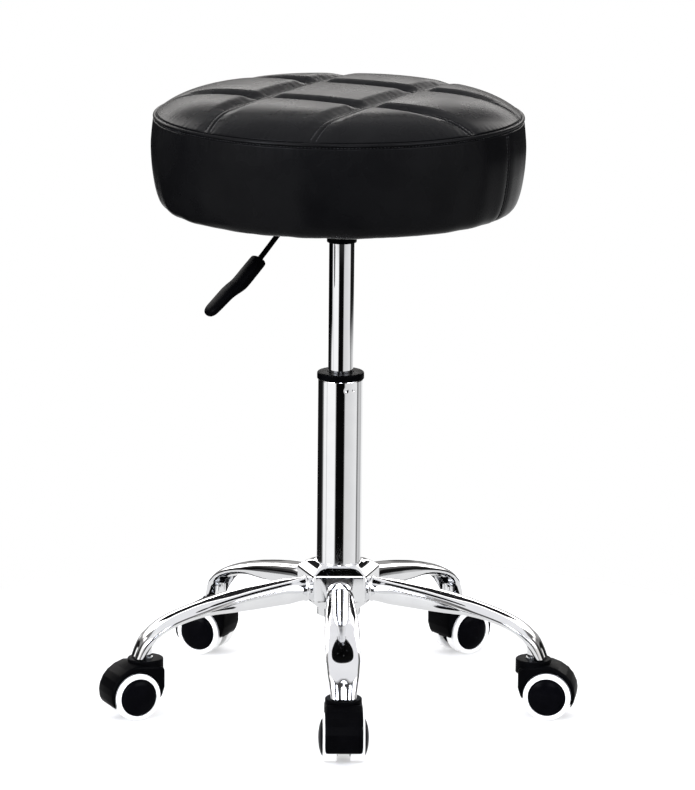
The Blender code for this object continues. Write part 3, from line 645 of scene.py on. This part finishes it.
def make_stitches():
    verts, faces = [], []
    pitch, length = 3.9 * MM, 2.9 * MM
    reach = math.sqrt((SEAM_RADIUS - 6.0 * MM) ** 2 - QUILT_OFFSET**2)
    starts = np.arange(-reach, reach, pitch)
    for family in ("u", "v"):
        for line in (-QUILT_OFFSET, QUILT_OFFSET):
            for row in (-ROW_OFFSET, ROW_OFFSET):
                for start in starts:
                    if abs(abs(start + length / 2) - QUILT_OFFSET) < PANEL_EDGE + 1.5 * MM:
                        continue
                    along, across = np.array((start, start + length)), np.full(2, line + row)
                    plan = quilt_plan(along, across) if family == "u" else quilt_plan(across, along)
                    stitch(verts, faces, *top_points(*plan), (0.0, 0.0, 1.0))
    around = round(TAU * SEAM_RADIUS / pitch)
    for row in (-ROW_OFFSET, ROW_OFFSET):
        for index in range(around):
            angles = np.array((index, index + length / pitch)) * TAU / around - math.pi
            lift = (math.cos(angles[0]), math.sin(angles[0]), 1.3 if row < 0 else 0.3)
            stitch(verts, faces, *cover_points(np.full(2, SEAM_ARC + row), angles), lift)
    for row in (-SIDE_ROW_OFFSET, SIDE_ROW_OFFSET):
        for arc in np.arange(SEAM_ARC + 7.0 * MM, FOOT_ARC - 2.0 * MM, pitch):
            angle = SIDE_SEAM_ANGLE + row / SEAT_RADIUS
            points = cover_points(np.array((arc, arc + length)), np.full(2, angle))
            stitch(verts, faces, *points, (math.cos(angle), math.sin(angle), 0.0))
    piece("seat_stitches", raw_mesh("seat_stitches", verts, faces), "seat", "leatherette", material=THREAD)


def make_seat_lining():
    """Black cloth over the board's underside."""
    board_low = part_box("seat_board")[0].z
    profile = [(0.0230, board_low - 0.05 * MM), (0.1760, board_low - 0.05 * MM)]
    profile += [(0.1760, board_low - 0.28 * MM), (0.0230, board_low - 0.28 * MM)]
    mesh = turned("seat_lining", profile, 120)
    mesh.transform(Matrix.Translation((SEAT_X, SEAT_Y, 0.0)))
    piece("seat_lining", mesh, "seat", "leatherette", material=LINING)


# ---------------------------------------------------------------- gas lift


def make_lift():
    tube_low, tube_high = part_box("stand_tube")
    radius, wall = tube_high.x, 1.5 * MM
    foot, top = tube_low.z, tube_high.z
    crimps = (math.radians(-76.0), math.radians(-56.0))

    def crimp(angle, at_radius, height):
        if at_radius < radius - 0.5 * MM:
            return 0.0
        dent = 0.0
        for spot in crimps:
            apart = ((angle - spot + math.pi) % TAU - math.pi) * radius
            dent += hump(math.hypot(apart, height - (top - 9.5 * MM)), 1.7 * MM)
        return -0.9 * MM * dent

    wall_heights = [top - 0.4 * MM - 0.8 * MM * step for step in range(26)]
    profile = [(radius, height) for height in wall_heights]
    profile += [(radius, 0.30), (radius, 0.22), (radius, 0.157)]
    profile += [(radius - 0.8 * MM, foot), (5.6 * MM, foot)]
    profile += [(5.6 * MM, foot + 3.0 * MM), (radius - 2.3 * MM, foot + 3.0 * MM)]
    profile += [(radius - wall, 0.157), (radius - wall, top - 0.4 * MM), (radius - wall + 0.3 * MM, top)]
    profile += [(radius - 0.3 * MM, top)]
    mesh = turned("column_outer", profile, 224, shape=crimp)
    piece("column_outer", mesh, "base", "chrome", ("stand_tube",))

    bush_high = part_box("guide_bush")[1]
    inside, lip, high = 14.4 * MM, bush_high.x, bush_high.z
    sleeve, low = 23.2 * MM, top + 0.3 * MM
    end = top - 0.07
    outline = [(inside, high), (lip, high), (lip, low), (sleeve, low), (sleeve, end), (inside, end)]
    profile = rounded(outline, [0.8 * MM, 2.4 * MM, 0.5 * MM, 0, 0, 0], 6)
    mesh = turned("column_bush", profile, 120)
    piece("column_bush", mesh, "base", "black_plastic", ("guide_bush",))

    rod_low, rod_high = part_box("pressure_tube")
    radius, low, high = rod_high.x, rod_low.z, rod_high.z
    bore, end = radius - 1.2 * MM, 6 * MM
    outline = [
        (radius, high), (radius, low), (5.4 * MM, low), (5.4 * MM, low + end),
        (bore, low + end), (bore, high - end), (3.4 * MM, high - end), (3.4 * MM, high),
    ]
    profile = rounded(outline, [1.0 * MM, 0.8 * MM, 0, 0, 0, 0, 0, 0], 4)
    piece("column_inner", turned("column_inner", profile, 120), "seat", "chrome", ("pressure_tube",))


def make_plate():
    plate_low, plate_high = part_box("mounting_plate")
    rim = (plate_high.x - plate_low.x) / 2.0
    foot = plate_low.z
    outline = [
        (rim, 0.5641), (rim, 0.5611), (0.0372, 0.5611), (0.0342, 0.5592), (0.0332, 0.5412), (0.0166, 0.5405),
        (0.0166, foot), (0.0145, foot), (0.0145, 0.5444), (0.0300, 0.5444), (0.0345, 0.5641),
    ]
    sizes = [0.8 * MM, 1.2 * MM, 1.5 * MM, 3 * MM, 3.5 * MM, 2.5 * MM, 1.6 * MM, 0.4 * MM, 0, 2 * MM, 0]
    body = turned("seat_plate", rounded(outline, sizes, 5), 120)
    lever = joints["lever_lift"]
    angle = math.atan2(lever["pos_m"][1], lever["pos_m"][0])
    z = lever["pos_m"][2]
    side, low, high = 3.6 * MM, z - 3.7 * MM, z + 3.7 * MM
    corners = [(-side, low), (side, low), (side, high), (-side, high)]
    slot = skin("slot", [[(x, y, height) for y, height in corners] for x in (0.0255, 0.0450)])
    slot.transform(Matrix.Rotation(angle, 4, "Z"))
    mesh = combined("seat_plate", body, [("DIFFERENCE", slot)])
    piece("seat_plate", mesh, "seat", "black_steel", ("mounting_plate",))


# ---------------------------------------------------------------- lever


def sweep(path, half_widths, half_heights, sides, power):
    """Sweep a rounded section along (reach, height) points in the XZ plane."""
    rings = []
    for index in range(len(path)):
        forward = path[min(index + 1, len(path) - 1)] - path[max(index - 1, 0)]
        forward = forward / np.linalg.norm(forward)
        normal = np.array((-forward[1], forward[0]))
        ring = []
        for step in range(sides):
            angle = TAU * step / sides
            c, s = math.cos(angle), math.sin(angle)
            across = half_widths[index] * math.copysign(abs(c) ** power, c)
            rise = half_heights[index] * math.copysign(abs(s) ** power, s)
            ring.append((path[index][0] + normal[0] * rise, across, path[index][1] + normal[1] * rise))
        rings.append(ring)
    return rings


def make_lever():
    joint = joints["lever_lift"]
    pivot = Vector(joint["pos_m"])
    angle = math.atan2(pivot.y, pivot.x)
    reach = math.hypot(pivot.x, pivot.y)
    place = Matrix.Translation(pivot) @ Matrix.Rotation(angle, 4, "Z")
    rod_points = [
        (-3.0, 0.0), (20.0, 0.0), (42.0, 0.0), (61.0, 0.0), (66.0, -0.4), (70.0, -3.2),
        (73.5, -7.6), (78.0, -13.4), (92.0, -29.5), (101.0, -39.5), (124.0, -63.7),
    ]
    path = curve_through([((x * MM) - reach, z * MM) for x, z in rod_points], 8)
    sizes = [3.0 * MM] * len(path)
    rod = skin("release_rod", sweep(path, sizes, sizes, 24, 1.0), True, 50.0)
    piece("release_rod", rod, "lever", "black_steel", ("lever_rod",), place)

    table = np.array([
        (101.0, -39.5, 7.6, 4.4), (101.5, -40.1, 9.2, 5.3), (102.4, -41.1, 11.4, 6.4),
        (104.5, -43.3, 12.3, 6.9), (114.6, -53.9, 12.5, 7.1), (124.0, -63.7, 12.5, 7.1),
        (129.0, -67.6, 12.5, 6.8), (134.3, -70.8, 12.5, 6.3), (139.5, -74.2, 12.5, 5.8),
        (144.6, -78.5, 12.4, 5.4), (152.0, -85.2, 12.0, 5.2), (159.0, -91.5, 11.2, 5.0),
        (162.3, -94.6, 9.4, 4.4), (164.2, -96.6, 6.6, 3.2), (165.1, -97.6, 3.2, 1.6),
    ])
    fine = curve_through(table * MM, 5)
    path = fine[:, :2] - np.array((reach, 0.0))
    grip = skin("release_grip", sweep(path, fine[:, 2], fine[:, 3], 40, 0.78), True, 60.0)
    piece("release_grip", grip, "lever", "black_plastic", ("lever_grip",), place)


# ---------------------------------------------------------------- base

LEG_PATH = [
    (29.0, 130.3), (43.0, 129.25), (70.0, 127.0), (103.5, 123.6), (144.0, 118.8), (160.0, 115.9),
    (175.5, 112.2), (194.0, 106.3), (208.0, 99.8), (218.0, 92.8), (226.0, 84.4), (231.5, 75.4), (235.0, 67.0),
]
LEG_HEIGHTS = (
    (29.0, 13.5), (60.0, 13.3), (103.5, 11.5), (144.0, 8.6), (175.5, 7.0), (200.0, 6.3), (235.0, 5.8),
)
LEG_WIDTHS = (
    (29.0, 13.5), (41.5, 13.6), (60.0, 15.1), (80.0, 16.4), (103.5, 17.6), (144.0, 19.1), (175.5, 19.3),
    (208.0, 18.5), (223.0, 17.0), (235.0, 14.0),
)
LEG_WALL = 2.2
STEM_CIRCLE = math.hypot(*joints["caster_1_swivel"]["pos_m"][:2])


def make_leg_mesh():
    """Round tube at the hub, pressed wide and flat, creased and open below over the caster's stem."""
    path = curve_through(LEG_PATH, 8)
    rings = []
    sides = 72
    reach_of = np.array(LEG_HEIGHTS)
    width_of = np.array(LEG_WIDTHS)
    for index, (reach, height) in enumerate(path):
        half_height = np.interp(reach, reach_of[:, 0], reach_of[:, 1])
        half_width = np.interp(reach, width_of[:, 0], width_of[:, 1])
        forward = path[min(index + 1, len(path) - 1)] - path[max(index - 1, 0)]
        forward = forward / np.linalg.norm(forward)
        normal = np.array((-forward[1], forward[0]))
        flatten = float(smooth_step((reach - 224.0) / 11.0))
        normal = normal * (1.0 - flatten) + np.array((1.0, 0.0)) * flatten
        squared = smooth_step((reach - 42.0) / 24.0) - 0.92 * smooth_step((reach - 124.0) / 46.0)
        power = 1.0 - 0.48 * float(squared)
        channel = float(smooth_step((reach - 203.0) / 10.0))
        ring = []
        for step in range(sides):
            angle = TAU * step / sides
            c, s = math.cos(angle), math.sin(angle)
            side = abs(c) ** power
            across = half_width * math.copysign(side, c)
            lobe = math.sqrt(max(0.0, 1.0 - ((side - 0.5) / 0.5) ** 2))
            lobe = 0.62 + 0.38 * lobe if side < 0.5 else lobe
            folded = float(smooth_step((reach + 8.0 * side - 226.0) / 7.0))
            top = half_height * (abs(s) ** power * (1.0 - folded) + lobe * folded)
            if s >= 0.0:
                rise = top
            else:
                inner = top - LEG_WALL
                open_share = channel * float(smooth_step((0.80 - abs(across) / half_width) / 0.10))
                rise = -top * (1.0 - open_share) + inner * open_share
            ring.append((across * MM, -(reach + normal[0] * rise) * MM, (height + normal[1] * rise) * MM))
        rings.append(ring)
    return skin("leg", rings, True, 50.0)


def make_sleeve_mesh():
    """Sleeve for the stem, seen in the open end of the leg."""
    outline = in_mm([(7.3, 67.2), (5.4, 67.2), (5.4, 82.8), (7.3, 82.8)])
    mesh = turned("sleeve", rounded(outline, 0.4 * MM, 3), 40)
    for vert in mesh.vertices:
        if vert.co.z > 75.0 * MM:
            vert.co.z += 0.7 * vert.co.y - 3.8 * MM
    mesh.transform(Matrix.Translation((0.0, -STEM_CIRCLE, 0.0)))
    return mesh


def pentagon_ring(apothem, corner, height, arc_steps=8):
    """Five flat sides with round corners, and a flat side facing each leg."""
    ring = []
    for index in range(5):
        middle = -math.pi / 2.0 + (index + 0.5) * TAU / 5
        inner = (apothem - corner) / math.cos(math.pi / 5.0)
        shares = [step / arc_steps - 0.5 for step in range(arc_steps + 1)]
        for share, along in [(-0.5, -1.0 * MM), *((share, 0.0) for share in shares), (0.5, 1.0 * MM)]:
            angle = middle + share * TAU / 5
            ring.append((
                inner * math.cos(middle) + corner * math.cos(angle) - along * math.sin(angle),
                inner * math.sin(middle) + corner * math.sin(angle) + along * math.cos(angle),
                height,
            ))
    return ring


def make_hub_mesh():
    levels = [
        (18.0, 109.8, 5.0), (28.0, 109.8, 5.0), (29.6, 110.4, 5.0), (38.6, 117.6, 5.5), (39.6, 118.9, 5.5),
        (40.0, 120.6, 5.5), (40.0, 121.6, 5.5), (40.0, 147.8, 5.5), (40.0, 148.8, 5.5), (39.7, 150.0, 5.5),
        (39.0, 150.9, 5.5), (37.9, 151.7, 6.0), (33.6, 154.9, 8.0), (29.7, 157.8, 12.0),
    ]
    rings = [pentagon_ring(apothem * MM, corner * MM, height * MM) for apothem, height, corner in levels]
    angles = [math.atan2(point[1], point[0]) for point in rings[-1]]
    lip = [(28.7, 158.5), (28.0, 158.9), (27.3, 159.0), (26.5, 158.8), (25.7, 158.2), (25.3, 156.9)]
    lip += [(24.75, 109.0), (22.0, 109.4)]
    for radius, height in lip:
        rings.append([(radius * MM * math.cos(a), radius * MM * math.sin(a), height * MM) for a in angles])
    rings.append(rings[0])
    body = skin("hub", rings, False, 40.0)
    start_z = LEG_PATH[0][1] * MM
    slope = (LEG_PATH[1][1] - LEG_PATH[0][1]) / (LEG_PATH[1][0] - LEG_PATH[0][0])
    operations = []
    start = Vector((0.0, -28.4 * MM, start_z - slope * 0.6 * MM))
    end = Vector((0.0, -60.0 * MM, start_z + slope * 31.0 * MM))
    for index in range(5):
        mouth = bar("mouth", 14.1 * MM, start, end, 48)
        mouth.transform(fifth_turn(index))
        operations.append(("DIFFERENCE", mouth))
    return combined("hub", body, operations)


def make_weld_mesh():
    """Weld fillet where the leg leaves the hub's face."""
    rings = []
    count = 120
    along = 41.5
    centre_z = float(np.interp(along, *zip(*LEG_PATH)))
    section = [(13.2, -42.0), (13.7, -41.6), (14.1, -41.1), (14.5, -40.5), (14.8, -39.5), (13.2, -39.5)]
    for step in range(count):
        angle = TAU * step / count
        c, s = math.cos(angle), math.sin(angle)
        rings.append([(r * c * MM, y * MM, (centre_z + r * s) * MM) for r, y in section])
    rings.append(rings[0])
    return skin("weld", rings, False, 60.0)


def make_base():
    piece("base_hub", make_hub_mesh(), "base", "chrome", ("hub",))
    leg, sleeve, weld = make_leg_mesh(), make_sleeve_mesh(), make_weld_mesh()
    for index in range(5):
        number = index + 1
        turn = fifth_turn(index)
        piece(f"base_leg_{number}", leg, "base", "chrome", (f"leg_{number}",), turn)
        piece(f"base_sleeve_{number}", sleeve, "base", "chrome", (), turn)
        piece(f"base_weld_{number}", weld, "base", "chrome", (), turn)


# ---------------------------------------------------------------- casters

TRAIL = 17.5
WHEEL_RADIUS = joints["caster_1_roll_l"]["pos_m"][2] / MM
AXLE_Y, AXLE_Z = -TRAIL * MM, WHEEL_RADIUS * MM


def make_hood_mesh():
    side = [
        (-15.4, 58.0), (-15.4, 35.0), (-12.5, 26.0), (-8.7, 20.0), (17.5, 15.0), (44.0, 14.5), (47.5, 21.5),
        (48.5, 30.0), (47.4, 37.0), (43.6, 45.5), (38.1, 52.2), (29.5, 58.0), (18.9, 61.8),
    ]
    outline = rounded(in_mm([(-reach, height) for reach, height in side]), 6.0 * MM, 4)
    centre_y = sum(point[0] for point in outline) / len(outline)
    centre_z = sum(point[1] for point in outline) / len(outline)
    rings = []
    half = 20.6
    edge = [(half, 3.4), (half - 0.15, 2.2), (half - 0.7, 1.1), (half - 1.6, 0.35), (half - 3.0, 0.0)]
    levels = [(-x, inset) for x, inset in edge] + [(x, inset) for x, inset in reversed(edge)]
    for x, inset in levels:
        ring = []
        for y, z in outline:
            offset = Vector((y - centre_y, z - centre_z))
            shrunk = offset * (1.0 - inset * MM / offset.length)
            ring.append((x * MM, centre_y + shrunk.x, centre_z + shrunk.y))
        rings.append(ring)
    body = skin("hood", rings, True, 40.0)
    flange_outline = in_mm([(0.0, 50.0), (20.0, 50.0), (20.0, 65.5), (0.0, 65.5)])
    flange = turned("flange", rounded(flange_outline, [0, 0, 1.6 * MM, 0], 6), 72, closed=False)
    operations = [("UNION", flange)]
    for sign in (-1.0, 1.0):
        start = (sign * 5.5 * MM, AXLE_Y, AXLE_Z)
        end = (sign * 26.0 * MM, AXLE_Y, AXLE_Z)
        operations.append(("DIFFERENCE", bar("pocket", 28.0 * MM, start, end, 72)))
    hole = bar("stem_hole", 5.4 * MM, (0, 0, 0.040), (0, 0, 0.080), 32)
    axle = bar("axle_hole", 3.4 * MM, (-0.02, AXLE_Y, AXLE_Z), (0.02, AXLE_Y, AXLE_Z), 24)
    operations += [("DIFFERENCE", hole), ("DIFFERENCE", axle)]
    return combined("hood", body, operations, 35.0)


def make_wheel_meshes(sign):
    core = [
        (0.0, 27.5), (6.0, 27.2), (11.0, 26.5), (15.0, 25.5), (18.2, 24.3), (19.6, 23.4), (20.2, 22.6),
        (20.9, 22.3), (20.9, 6.6), (19.0, 6.6), (19.0, 8.6), (6.5, 8.6), (6.5, 6.4), (3.4, 6.2),
        (3.4, 19.5), (0.0, 19.5),
    ]
    sizes = [0, 4.0, 6.0, 6.0, 2.0, 0.8, 0.3, 0.3, 0.4, 0.4, 0.8, 0.8, 0.4, 0.2, 0, 0]
    profile = rounded(in_mm([(r, sign * h) for r, h in core]), [size * MM for size in sizes], 4, False)
    wheel = turned("wheel", profile, 96, "X", closed=False)
    tyre = [(21.2, 7.2), (26.5, 7.2), (26.5, 22.7), (21.2, 22.7)]
    sizes = [0.3 * MM, 1.8 * MM, 2.6 * MM, 0.6 * MM]
    profile = rounded(in_mm([(r, sign * h) for r, h in tyre]), sizes, 6)
    tread = turned("tread", profile, 96, "X")
    return wheel, tread


def make_casters():
    hood = make_hood_mesh()
    wheels = {"l": make_wheel_meshes(-1.0), "r": make_wheel_meshes(1.0)}
    for number in range(1, 6):
        spot = joints[f"caster_{number}_swivel"]["pos_m"]
        along = joints[f"caster_{number}_roll_l"]["axis"]
        turn = Matrix.Rotation(math.atan2(along[1], along[0]), 4, "Z")
        place = Matrix.Translation((spot[0], spot[1], 0.0)) @ turn
        body = f"caster_{number}"
        piece(f"{body}_cover", hood, body, "black_plastic", (f"{body}_hood",), place)
        axle = place @ Matrix.Translation((0.0, AXLE_Y, AXLE_Z))
        for side, (wheel, tread) in wheels.items():
            ridden = f"{body}_wheel_{side}"
            piece(f"{body}_disc_{side}", wheel, ridden, "gloss_plastic", (ridden,), axle)
            piece(f"{body}_tyre_{side}", tread, ridden, "white_tread", (f"{body}_tread_{side}",), axle)


# ---------------------------------------------------------------- studio


def calculate(tree, operation, first, second):
    node = tree.nodes.new("ShaderNodeMath")
    node.operation = operation
    return feed(tree, node, {0: first, 1: second}).outputs["Value"]


def grey_ramp(tree, source, stops):
    """Grey values along a source that runs from 0 to 1. Stops are (position, value)."""
    node = tree.nodes.new("ShaderNodeValToRGB")
    elements = node.color_ramp.elements
    while len(elements) < len(stops):
        elements.new(0.5)
    for element, (place, _) in zip(elements, stops):
        element.position = place
    for element, (_, value) in zip(elements, stops):
        element.color = (value, value, value, 1.0)
    tree.links.new(source, node.inputs["Fac"])
    return node.outputs["Color"]


def ring_ramp(tree, turn, stops):
    """Grey values round the studio. Stops are (bearing in degrees, value)."""
    return grey_ramp(tree, turn, [(degrees / 360.0 + 0.5, value) for degrees, value in stops])


def mixed(tree, factor, first, second, mode="MIX"):
    node = tree.nodes.new("ShaderNodeMix")
    node.data_type = "RGBA"
    node.blend_type = mode
    return feed(tree, node, {"Factor": factor, "A": first, "B": second}).outputs["Result"]


def times(tree, first, second):
    return mixed(tree, 1.0, first, second, "MULTIPLY")


# Brightness round the studio by bearing in degrees: 0 is the front, 90 the right-hand side. LOW_ROUND is
# for directions below the horizontal, MID_ROUND above it.
LOW_ROUND = (
    (-180, 0.80), (-169, 0.78), (-165, 0.006), (-108, 0.006), (-98, 0.16), (-94, 0.76), (-77, 0.80),
    (-74, 0.40), (-71, 0.80), (-28, 0.82), (-22, 0.002), (19, 0.002), (24, 0.56), (60, 0.62), (92, 0.70),
    (96, 0.12), (103, 0.18), (107, 0.50), (131, 0.40), (138, 0.74), (180, 0.80),
)
MID_ROUND = (
    (-180, 1.0), (-150, 1.0), (-140, 0.60), (-134, 0.03), (-106, 0.02), (-97, 0.20), (-60, 0.20),
    (-44, 0.10), (-24, 0.01), (22, 0.01), (36, 0.11), (92, 0.17), (98, 0.02), (134, 0.02), (140, 0.50),
    (150, 1.0), (180, 1.0),
)
MID_TINT = (4.6, 4.5, 4.42, 1.0)
# From here on: (height of the direction, value), and for the two ROUND tables (share of a full turn, value).
HORIZON = (
    (-0.21, 1.0), (-0.18, 0.02), (-0.06, 0.02), (-0.03, 0.06), (0.08, 0.06), (0.16, 0.09), (0.24, 0.65),
    (0.30, 1.3),
)
BOX_ROUND = (
    (0.31, 0.0), (0.34, 1.0), (0.395, 1.0), (0.410, 0.0), (0.478, 0.0), (0.485, 0.5), (0.515, 0.5),
    (0.522, 0.0), (0.590, 0.0), (0.605, 0.4), (0.68, 0.4), (0.72, 0.0),
)
BOX_RISE = ((0.26, 0.0), (0.31, 1.0), (0.58, 1.0), (0.66, 0.0))
BOX_TINT = (16.0, 16.6, 18.4, 1.0)
BAR_ROUND = ((0.068, 1.0), (0.080, 0.0), (0.920, 0.0), (0.932, 1.0))
BAR_RISE = ((0.30, 0.0), (0.32, 1.0), (0.56, 1.0), (0.60, 0.0))
BAR_COLOUR = (0.012, 0.012, 0.013, 1.0)
OVERHEAD_BACK = ((0.56, 0.0), (0.62, 1.0))
OVERHEAD_ALL = ((0.68, 0.0), (0.80, 1.0))
OVERHEAD = (0.70, 0.70, 0.715, 1.0)
WORLD_STRENGTH = 1.25


def make_world():
    """Studio that the part reflects: bright paper behind with a dark horizon and a dark bar, soft boxes in
    front and a bright ceiling. The camera itself sees plain white."""
    world = bpy.data.worlds.new("studio")
    bpy.context.scene.world = world
    world.use_nodes = True
    tree = world.node_tree
    tree.nodes.clear()
    place = tree.nodes.new("ShaderNodeTexCoord")
    parts = tree.nodes.new("ShaderNodeSeparateXYZ")
    tree.links.new(place.outputs["Generated"], parts.inputs["Vector"])
    rise = parts.outputs["Z"]
    to_front = calculate(tree, "MULTIPLY", parts.outputs["Y"], -1.0)
    bearing = calculate(tree, "ARCTAN2", parts.outputs["X"], to_front)
    turn = calculate(tree, "ADD", calculate(tree, "DIVIDE", bearing, TAU), 0.5)
    low = ring_ramp(tree, turn, LOW_ROUND)
    mid = times(tree, ring_ramp(tree, turn, MID_ROUND), MID_TINT)
    over_low = grey_ramp(tree, calculate(tree, "ADD", rise, 0.5), [(0.40, 0.0), (0.48, 1.0)])
    behind = grey_ramp(tree, calculate(tree, "ADD", parts.outputs["Y"], 0.5), [(0.38, 0.0), (0.50, 1.0)])
    level = calculate(tree, "ADD", calculate(tree, "MULTIPLY", rise, 0.5), 0.5)
    horizon = grey_ramp(tree, level, [((height + 1.0) / 2.0, value) for height, value in HORIZON])
    walls = mixed(tree, over_low, low, mid)
    walls = mixed(tree, behind, walls, times(tree, walls, horizon))
    overhead = times(tree, grey_ramp(tree, rise, OVERHEAD_BACK), behind)
    overhead = mixed(tree, 1.0, overhead, grey_ramp(tree, rise, OVERHEAD_ALL), "LIGHTEN")
    walls = mixed(tree, overhead, walls, OVERHEAD)
    dark_bar = times(tree, grey_ramp(tree, rise, BAR_RISE), grey_ramp(tree, turn, BAR_ROUND))
    walls = mixed(tree, dark_bar, walls, BAR_COLOUR)
    box = times(tree, grey_ramp(tree, turn, BOX_ROUND), grey_ramp(tree, rise, BOX_RISE))
    box = times(tree, box, BOX_TINT)
    studio, plain = (tree.nodes.new("ShaderNodeBackground") for _ in range(2))
    feed(tree, studio, {"Color": mixed(tree, 1.0, walls, box, "ADD"), "Strength": WORLD_STRENGTH})
    feed(tree, plain, {"Color": (1.0, 1.0, 1.0, 1.0)})
    seen = tree.nodes.new("ShaderNodeLightPath").outputs["Is Camera Ray"]
    choose = feed(tree, tree.nodes.new("ShaderNodeMixShader"), {
        "Fac": seen, 1: studio.outputs["Background"], 2: plain.outputs["Background"],
    })
    feed(tree, tree.nodes.new("ShaderNodeOutputWorld"), {"Surface": choose.outputs["Shader"]})


FLOOR_FADE = (0.590, 0.605)
FLOOR_DROP = 0.3 * MM


def make_floor():
    """Round pale floor that fades out into the pale backdrop."""
    rings = []
    angles = [TAU * k / 96 for k in range(96)]
    for radius in (0.001, 0.15, 0.3, 0.45, 0.6, 0.75, 0.9):
        rings.append([(radius * math.cos(a), radius * math.sin(a), 0.0) for a in angles])
    mesh = skin("floor", rings, False)
    material, tree, shader = new_material("floor", (0.55, 0.55, 0.55), 0.8, specular=0.1)
    length = tree.nodes.new("ShaderNodeVectorMath")
    length.operation = "LENGTH"
    feed(tree, length, {0: tree.nodes.new("ShaderNodeTexCoord").outputs["Object"]})
    spread(tree, length.outputs["Value"], 1.0, 0.0, shader.inputs["Alpha"], *FLOOR_FADE)
    feed(tree, shader, {"Emission Color": (1.0, 1.0, 1.0, 1.0)})
    mirrored = tree.nodes.new("ShaderNodeLightPath").outputs["Is Glossy Ray"]
    spread(tree, mirrored, 0.45, 0.0, shader.inputs["Base Color"], 0.0, 1.0)
    spread(tree, mirrored, 0.4, 0.80, shader.inputs["Emission Strength"], 0.0, 1.0)
    mesh.materials.append(material)
    floor = add_object("floor", mesh)
    floor.location = (0.0, 0.0, -FLOOR_DROP)


CEILING_HEIGHT = 2.6
CEILING_SIZE = 3.4
CEILING_WATTS = 95.0


def make_ceiling_light():
    """Area light that shines down and is not reflected."""
    light = bpy.data.lights.new("ceiling", "AREA")
    light.shape = "RECTANGLE"
    light.size = light.size_y = CEILING_SIZE
    light.energy = CEILING_WATTS
    obj = add_object("ceiling", light)
    obj.location = (0.0, 0.0, CEILING_HEIGHT)
    obj.visible_glossy = False
    obj.visible_camera = False


CAMERA_PLACE = (0.0, -5.016, 1.4798)
CAMERA_LENS = 210.47
CAMERA_TURN = -1.6
CAMERA_YAW = -0.09
CAMERA_DOWN = 12.705
CAMERA_ROLL = 0.56


def make_camera():
    camera = bpy.data.cameras.new("camera")
    camera.sensor_width = 36.0
    camera.lens = CAMERA_LENS
    camera.clip_end = 60.0
    obj = add_object("camera", camera)
    aim = tilt(CAMERA_YAW, "Z") @ tilt(90.0 - CAMERA_DOWN, "X") @ tilt(CAMERA_ROLL, "Z")
    obj.matrix_world = tilt(CAMERA_TURN, "Z") @ Matrix.Translation(CAMERA_PLACE) @ aim
    bpy.context.scene.camera = obj


def make_studio():
    make_world()
    make_floor()
    make_ceiling_light()
    make_camera()
    view = bpy.context.scene.view_settings
    view.view_transform = "Standard"
    view.look = "None"


dress_cad_nodes()
make_cushion()
make_stitches()
make_seat_lining()
make_lift()
make_plate()
make_lever()
make_base()
make_casters()
make_studio()
